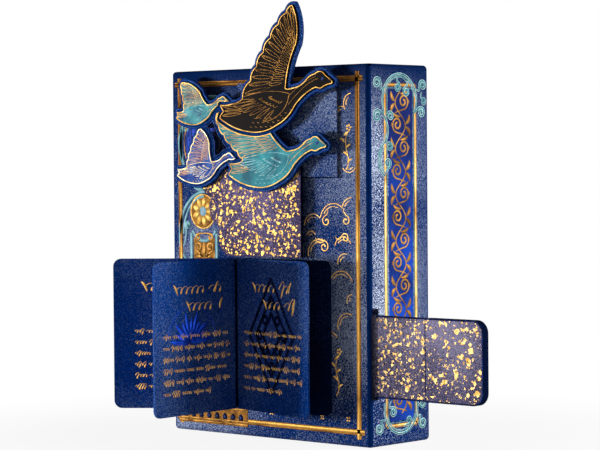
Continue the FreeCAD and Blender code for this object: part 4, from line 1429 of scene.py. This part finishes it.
class DECK_OT_booklet(bpy.types.Operator):
    """Stamps rows, flourishes and motifs on the leaves of the booklet"""
    bl_idname = "deck.booklet"
    bl_label = "Booklet Pages"

    def execute(self, context):
        fine = settings("deck_foils").fine
        for seed, (node, body, other, motif) in enumerate(PAGES, 1):
            place, width = leaf_place(node, other)
            name = f"{node}_rear" if other else f"{node}_front"
            third = body == "third_leaf"
            reach = width if body != "case" else 0.66 * width
            left = THIRD_LEAF_ROW_LEFT if third else ROW_LEFT
            rows = []
            for row in range(ROWS):
                right = reach - (ROW_RIGHT if row < ROWS - 1 else LAST_ROW_RIGHT)
                rows += wave_row(left, right, FIRST_ROW - ROW_PITCH * row, ROW_HEIGHT, 10 * seed + row)
            foil_lines(name + "_rows", rows, place, "page_gold_foil", 0.70 * fine, 0.01, body)
            heading = heading_strokes(0.23 * reach, HEADING_LEVEL, seed)
            foil_lines(name + "_heading", heading, place, "page_gold_foil", 0.88 * fine, 0.012, body)
            # A dark line along the spine of each page, painted shade in the fold.
            gutter = width - GUTTER_INSET if other != third else GUTTER_INSET
            foil_lines(name + "_gutter", [line(*((gutter, end) for end in GUTTER_ENDS))], place, "gutter_ink",
                       0.5 * MM, -0.02, body)
            if motif == "fan":
                fan = fan_motif(reach / 2 - 1.5, FAN_LEVEL)
                foil_lines(name + "_fan", fan, place, "royal_foil", 0.7 * fine, -0.005, body)
            elif motif == "lattice":
                lattice = lattice_motif(reach / 2, LATTICE_LEVEL)
                foil_lines(name + "_lattice", lattice, place, "dark_line_foil", 2.2 * fine, -0.005, body)
        return {"FINISHED"}


# Stage

# Place, size and watts of each lamp, in metres
SOFTBOXES = {
    "softbox_left": ((-0.66, -0.55, 0.035), (0.26, 0.06), 7.4),
    "softbox_right": ((0.60, 0.36, 0.14), (0.34, 0.50), 5.6),
    "softbox_top": ((0.10, -0.20, 0.95), (0.8, 0.8), 0.8),
}
LAMP_AIM = Vector((0, 0, 0.05))
WHITE = (1, 1, 1, 1)
# Light of the surround on the part, radius and drop of the floor, the distances from the part between which
# the floor goes white, and its share of white at the nearer one
SURROUND_LIGHT = 0.035
FLOOR_RADIUS = 3.0
FLOOR_DROP = 0.05 * MM
FLOOR_SHADE = (45 * MM, 130 * MM, 0.90)


def set_camera(stage, scene):
    aim = Vector((stage.aim_across, 0, stage.aim_height))
    level = math.cos(stage.tilt)
    back = Vector((math.sin(stage.turn) * level, -math.cos(stage.turn) * level, math.sin(stage.tilt)))
    right = Vector((math.cos(stage.turn), math.sin(stage.turn), 0))
    up = back.cross(right)
    c, s = math.cos(stage.roll), math.sin(stage.roll)
    right, up = c * right + s * up, c * up - s * right
    camera = new_object("camera", bpy.data.cameras.new("camera"))
    camera.data.lens = stage.lens
    camera.data.clip_start = 0.01
    place = Matrix((right, up, back)).transposed().to_4x4()
    place.translation = aim + back * stage.distance
    camera.matrix_world = place
    scene.camera = camera


def set_lamps():
    for name, (spot, size, watts) in SOFTBOXES.items():
        lamp = bpy.data.lights.new(name, "AREA")
        lamp.shape = "RECTANGLE"
        lamp.size, lamp.size_y = size
        lamp.energy = watts
        holder = new_object(name, lamp)
        holder.location = spot
        holder.rotation_euler = (LAMP_AIM - Vector(spot)).to_track_quat("-Z", "Y").to_euler()


def seen_share(tree):
    """One for rays of the camera and for those that gloss or glass sends on, none for light on the part."""
    rays = add(tree, "ShaderNodeLightPath")
    seen = add(tree, MATH, {
        0: rays.outputs["Is Camera Ray"], 1: rays.outputs["Is Glossy Ray"]}, operation="MAXIMUM")
    return add(tree, MATH, {0: seen, 1: rays.outputs["Is Transmission Ray"]}, operation="MAXIMUM")


def set_surround(scene):
    """A surround that shows white and lights the part only faintly."""
    world = bpy.data.worlds.new("white_surround")
    world.use_nodes = True
    tree = world.node_tree
    tree.nodes.clear()
    dim = add(tree, "ShaderNodeBackground", {"Color": WHITE, "Strength": SURROUND_LIGHT})
    white = add(tree, "ShaderNodeBackground", {"Color": WHITE, "Strength": 1.0})
    mixed = add(tree, "ShaderNodeMixShader", {0: seen_share(tree), 1: dim, 2: white})
    add(tree, "ShaderNodeOutputWorld", {"Surface": mixed})
    scene.world = world


def pale_floor(colour):
    """Matt floor that shows near white, a little darker close to the part."""
    tree, given = start_material("pale_floor")
    away = add(tree, VECTOR, {0: given.outputs["Object"]}, operation="LENGTH")
    whiter = add(tree, RANGE, {
        "Value": away.outputs["Value"], "From Min": FLOOR_SHADE[0], "From Max": FLOOR_SHADE[1],
        "To Min": FLOOR_SHADE[2], "To Max": 1.0}, interpolation_type="SMOOTHSTEP")
    share = add(tree, MATH, {0: seen_share(tree), 1: whiter}, operation="MULTIPLY")
    matt = add(tree, "ShaderNodeBsdfDiffuse", {"Color": rgba(colour)})
    glow = add(tree, "ShaderNodeEmission", {"Color": WHITE, "Strength": 1.0})
    close_material(tree, add(tree, "ShaderNodeMixShader", {0: share, 1: matt, 2: glow}))


class DECK_OT_stage(bpy.types.Operator):
    """Sets the floor, the soft lamps, the white surround and the camera"""
    bl_idname = "deck.stage"
    bl_label = "Stage"

    def execute(self, context):
        stage = settings("deck_stage")
        scene = context.scene
        scene.view_settings.view_transform = "Standard"
        set_camera(stage, scene)
        set_lamps()
        set_surround(scene)
        shape = bmesh.new()
        bmesh.ops.create_circle(shape, cap_ends=True, segments=96, radius=FLOOR_RADIUS)
        mesh = new_mesh("floor", shape)
        mesh.transform(Matrix.Translation((0, 0, -FLOOR_DROP)))
        pale_floor(stage.floor)
        mesh.materials.append(finish("pale_floor"))
        new_object("floor", mesh)
        return {"FINISHED"}


OPERATORS = (
    DECK_OT_papers, DECK_OT_borders, DECK_OT_medallion, DECK_OT_clouds, DECK_OT_foot_bar, DECK_OT_spine,
    DECK_OT_back_face, DECK_OT_flecks, DECK_OT_flock, DECK_OT_booklet, DECK_OT_stage)
GROUPS = {"deck_papers": DeckPapers, "deck_foils": DeckFoils, "deck_stage": DeckStage}


class DECK_PT_panel(bpy.types.Panel):
    """Lists the steps that dress the deck, and their sizes and colours"""
    bl_idname = "DECK_PT_panel"
    bl_label = "Card Deck Case"
    bl_space_type = "VIEW_3D"
    bl_region_type = "UI"
    bl_category = "Deck"

    def draw(self, context):
        for group, kind in GROUPS.items():
            box = self.layout.box()
            for name in kind.__annotations__:
                box.prop(settings(group), name)
        for operator in OPERATORS:
            self.layout.operator(operator.bl_idname)


def register():
    for kind in (*GROUPS.values(), *OPERATORS, DECK_PT_panel):
        bpy.utils.register_class(kind)
    for group, kind in GROUPS.items():
        setattr(bpy.types.Scene, group, bpy.props.PointerProperty(type=kind))


def unregister():
    for group in GROUPS:
        delattr(bpy.types.Scene, group)
    for kind in reversed((*GROUPS.values(), *OPERATORS, DECK_PT_panel)):
        bpy.utils.unregister_class(kind)


def main():
    register()
    for operator in OPERATORS:
        family, step = operator.bl_idname.split(".")
        getattr(getattr(bpy.ops, family), step)()


if __name__ == "__main__":
    main()
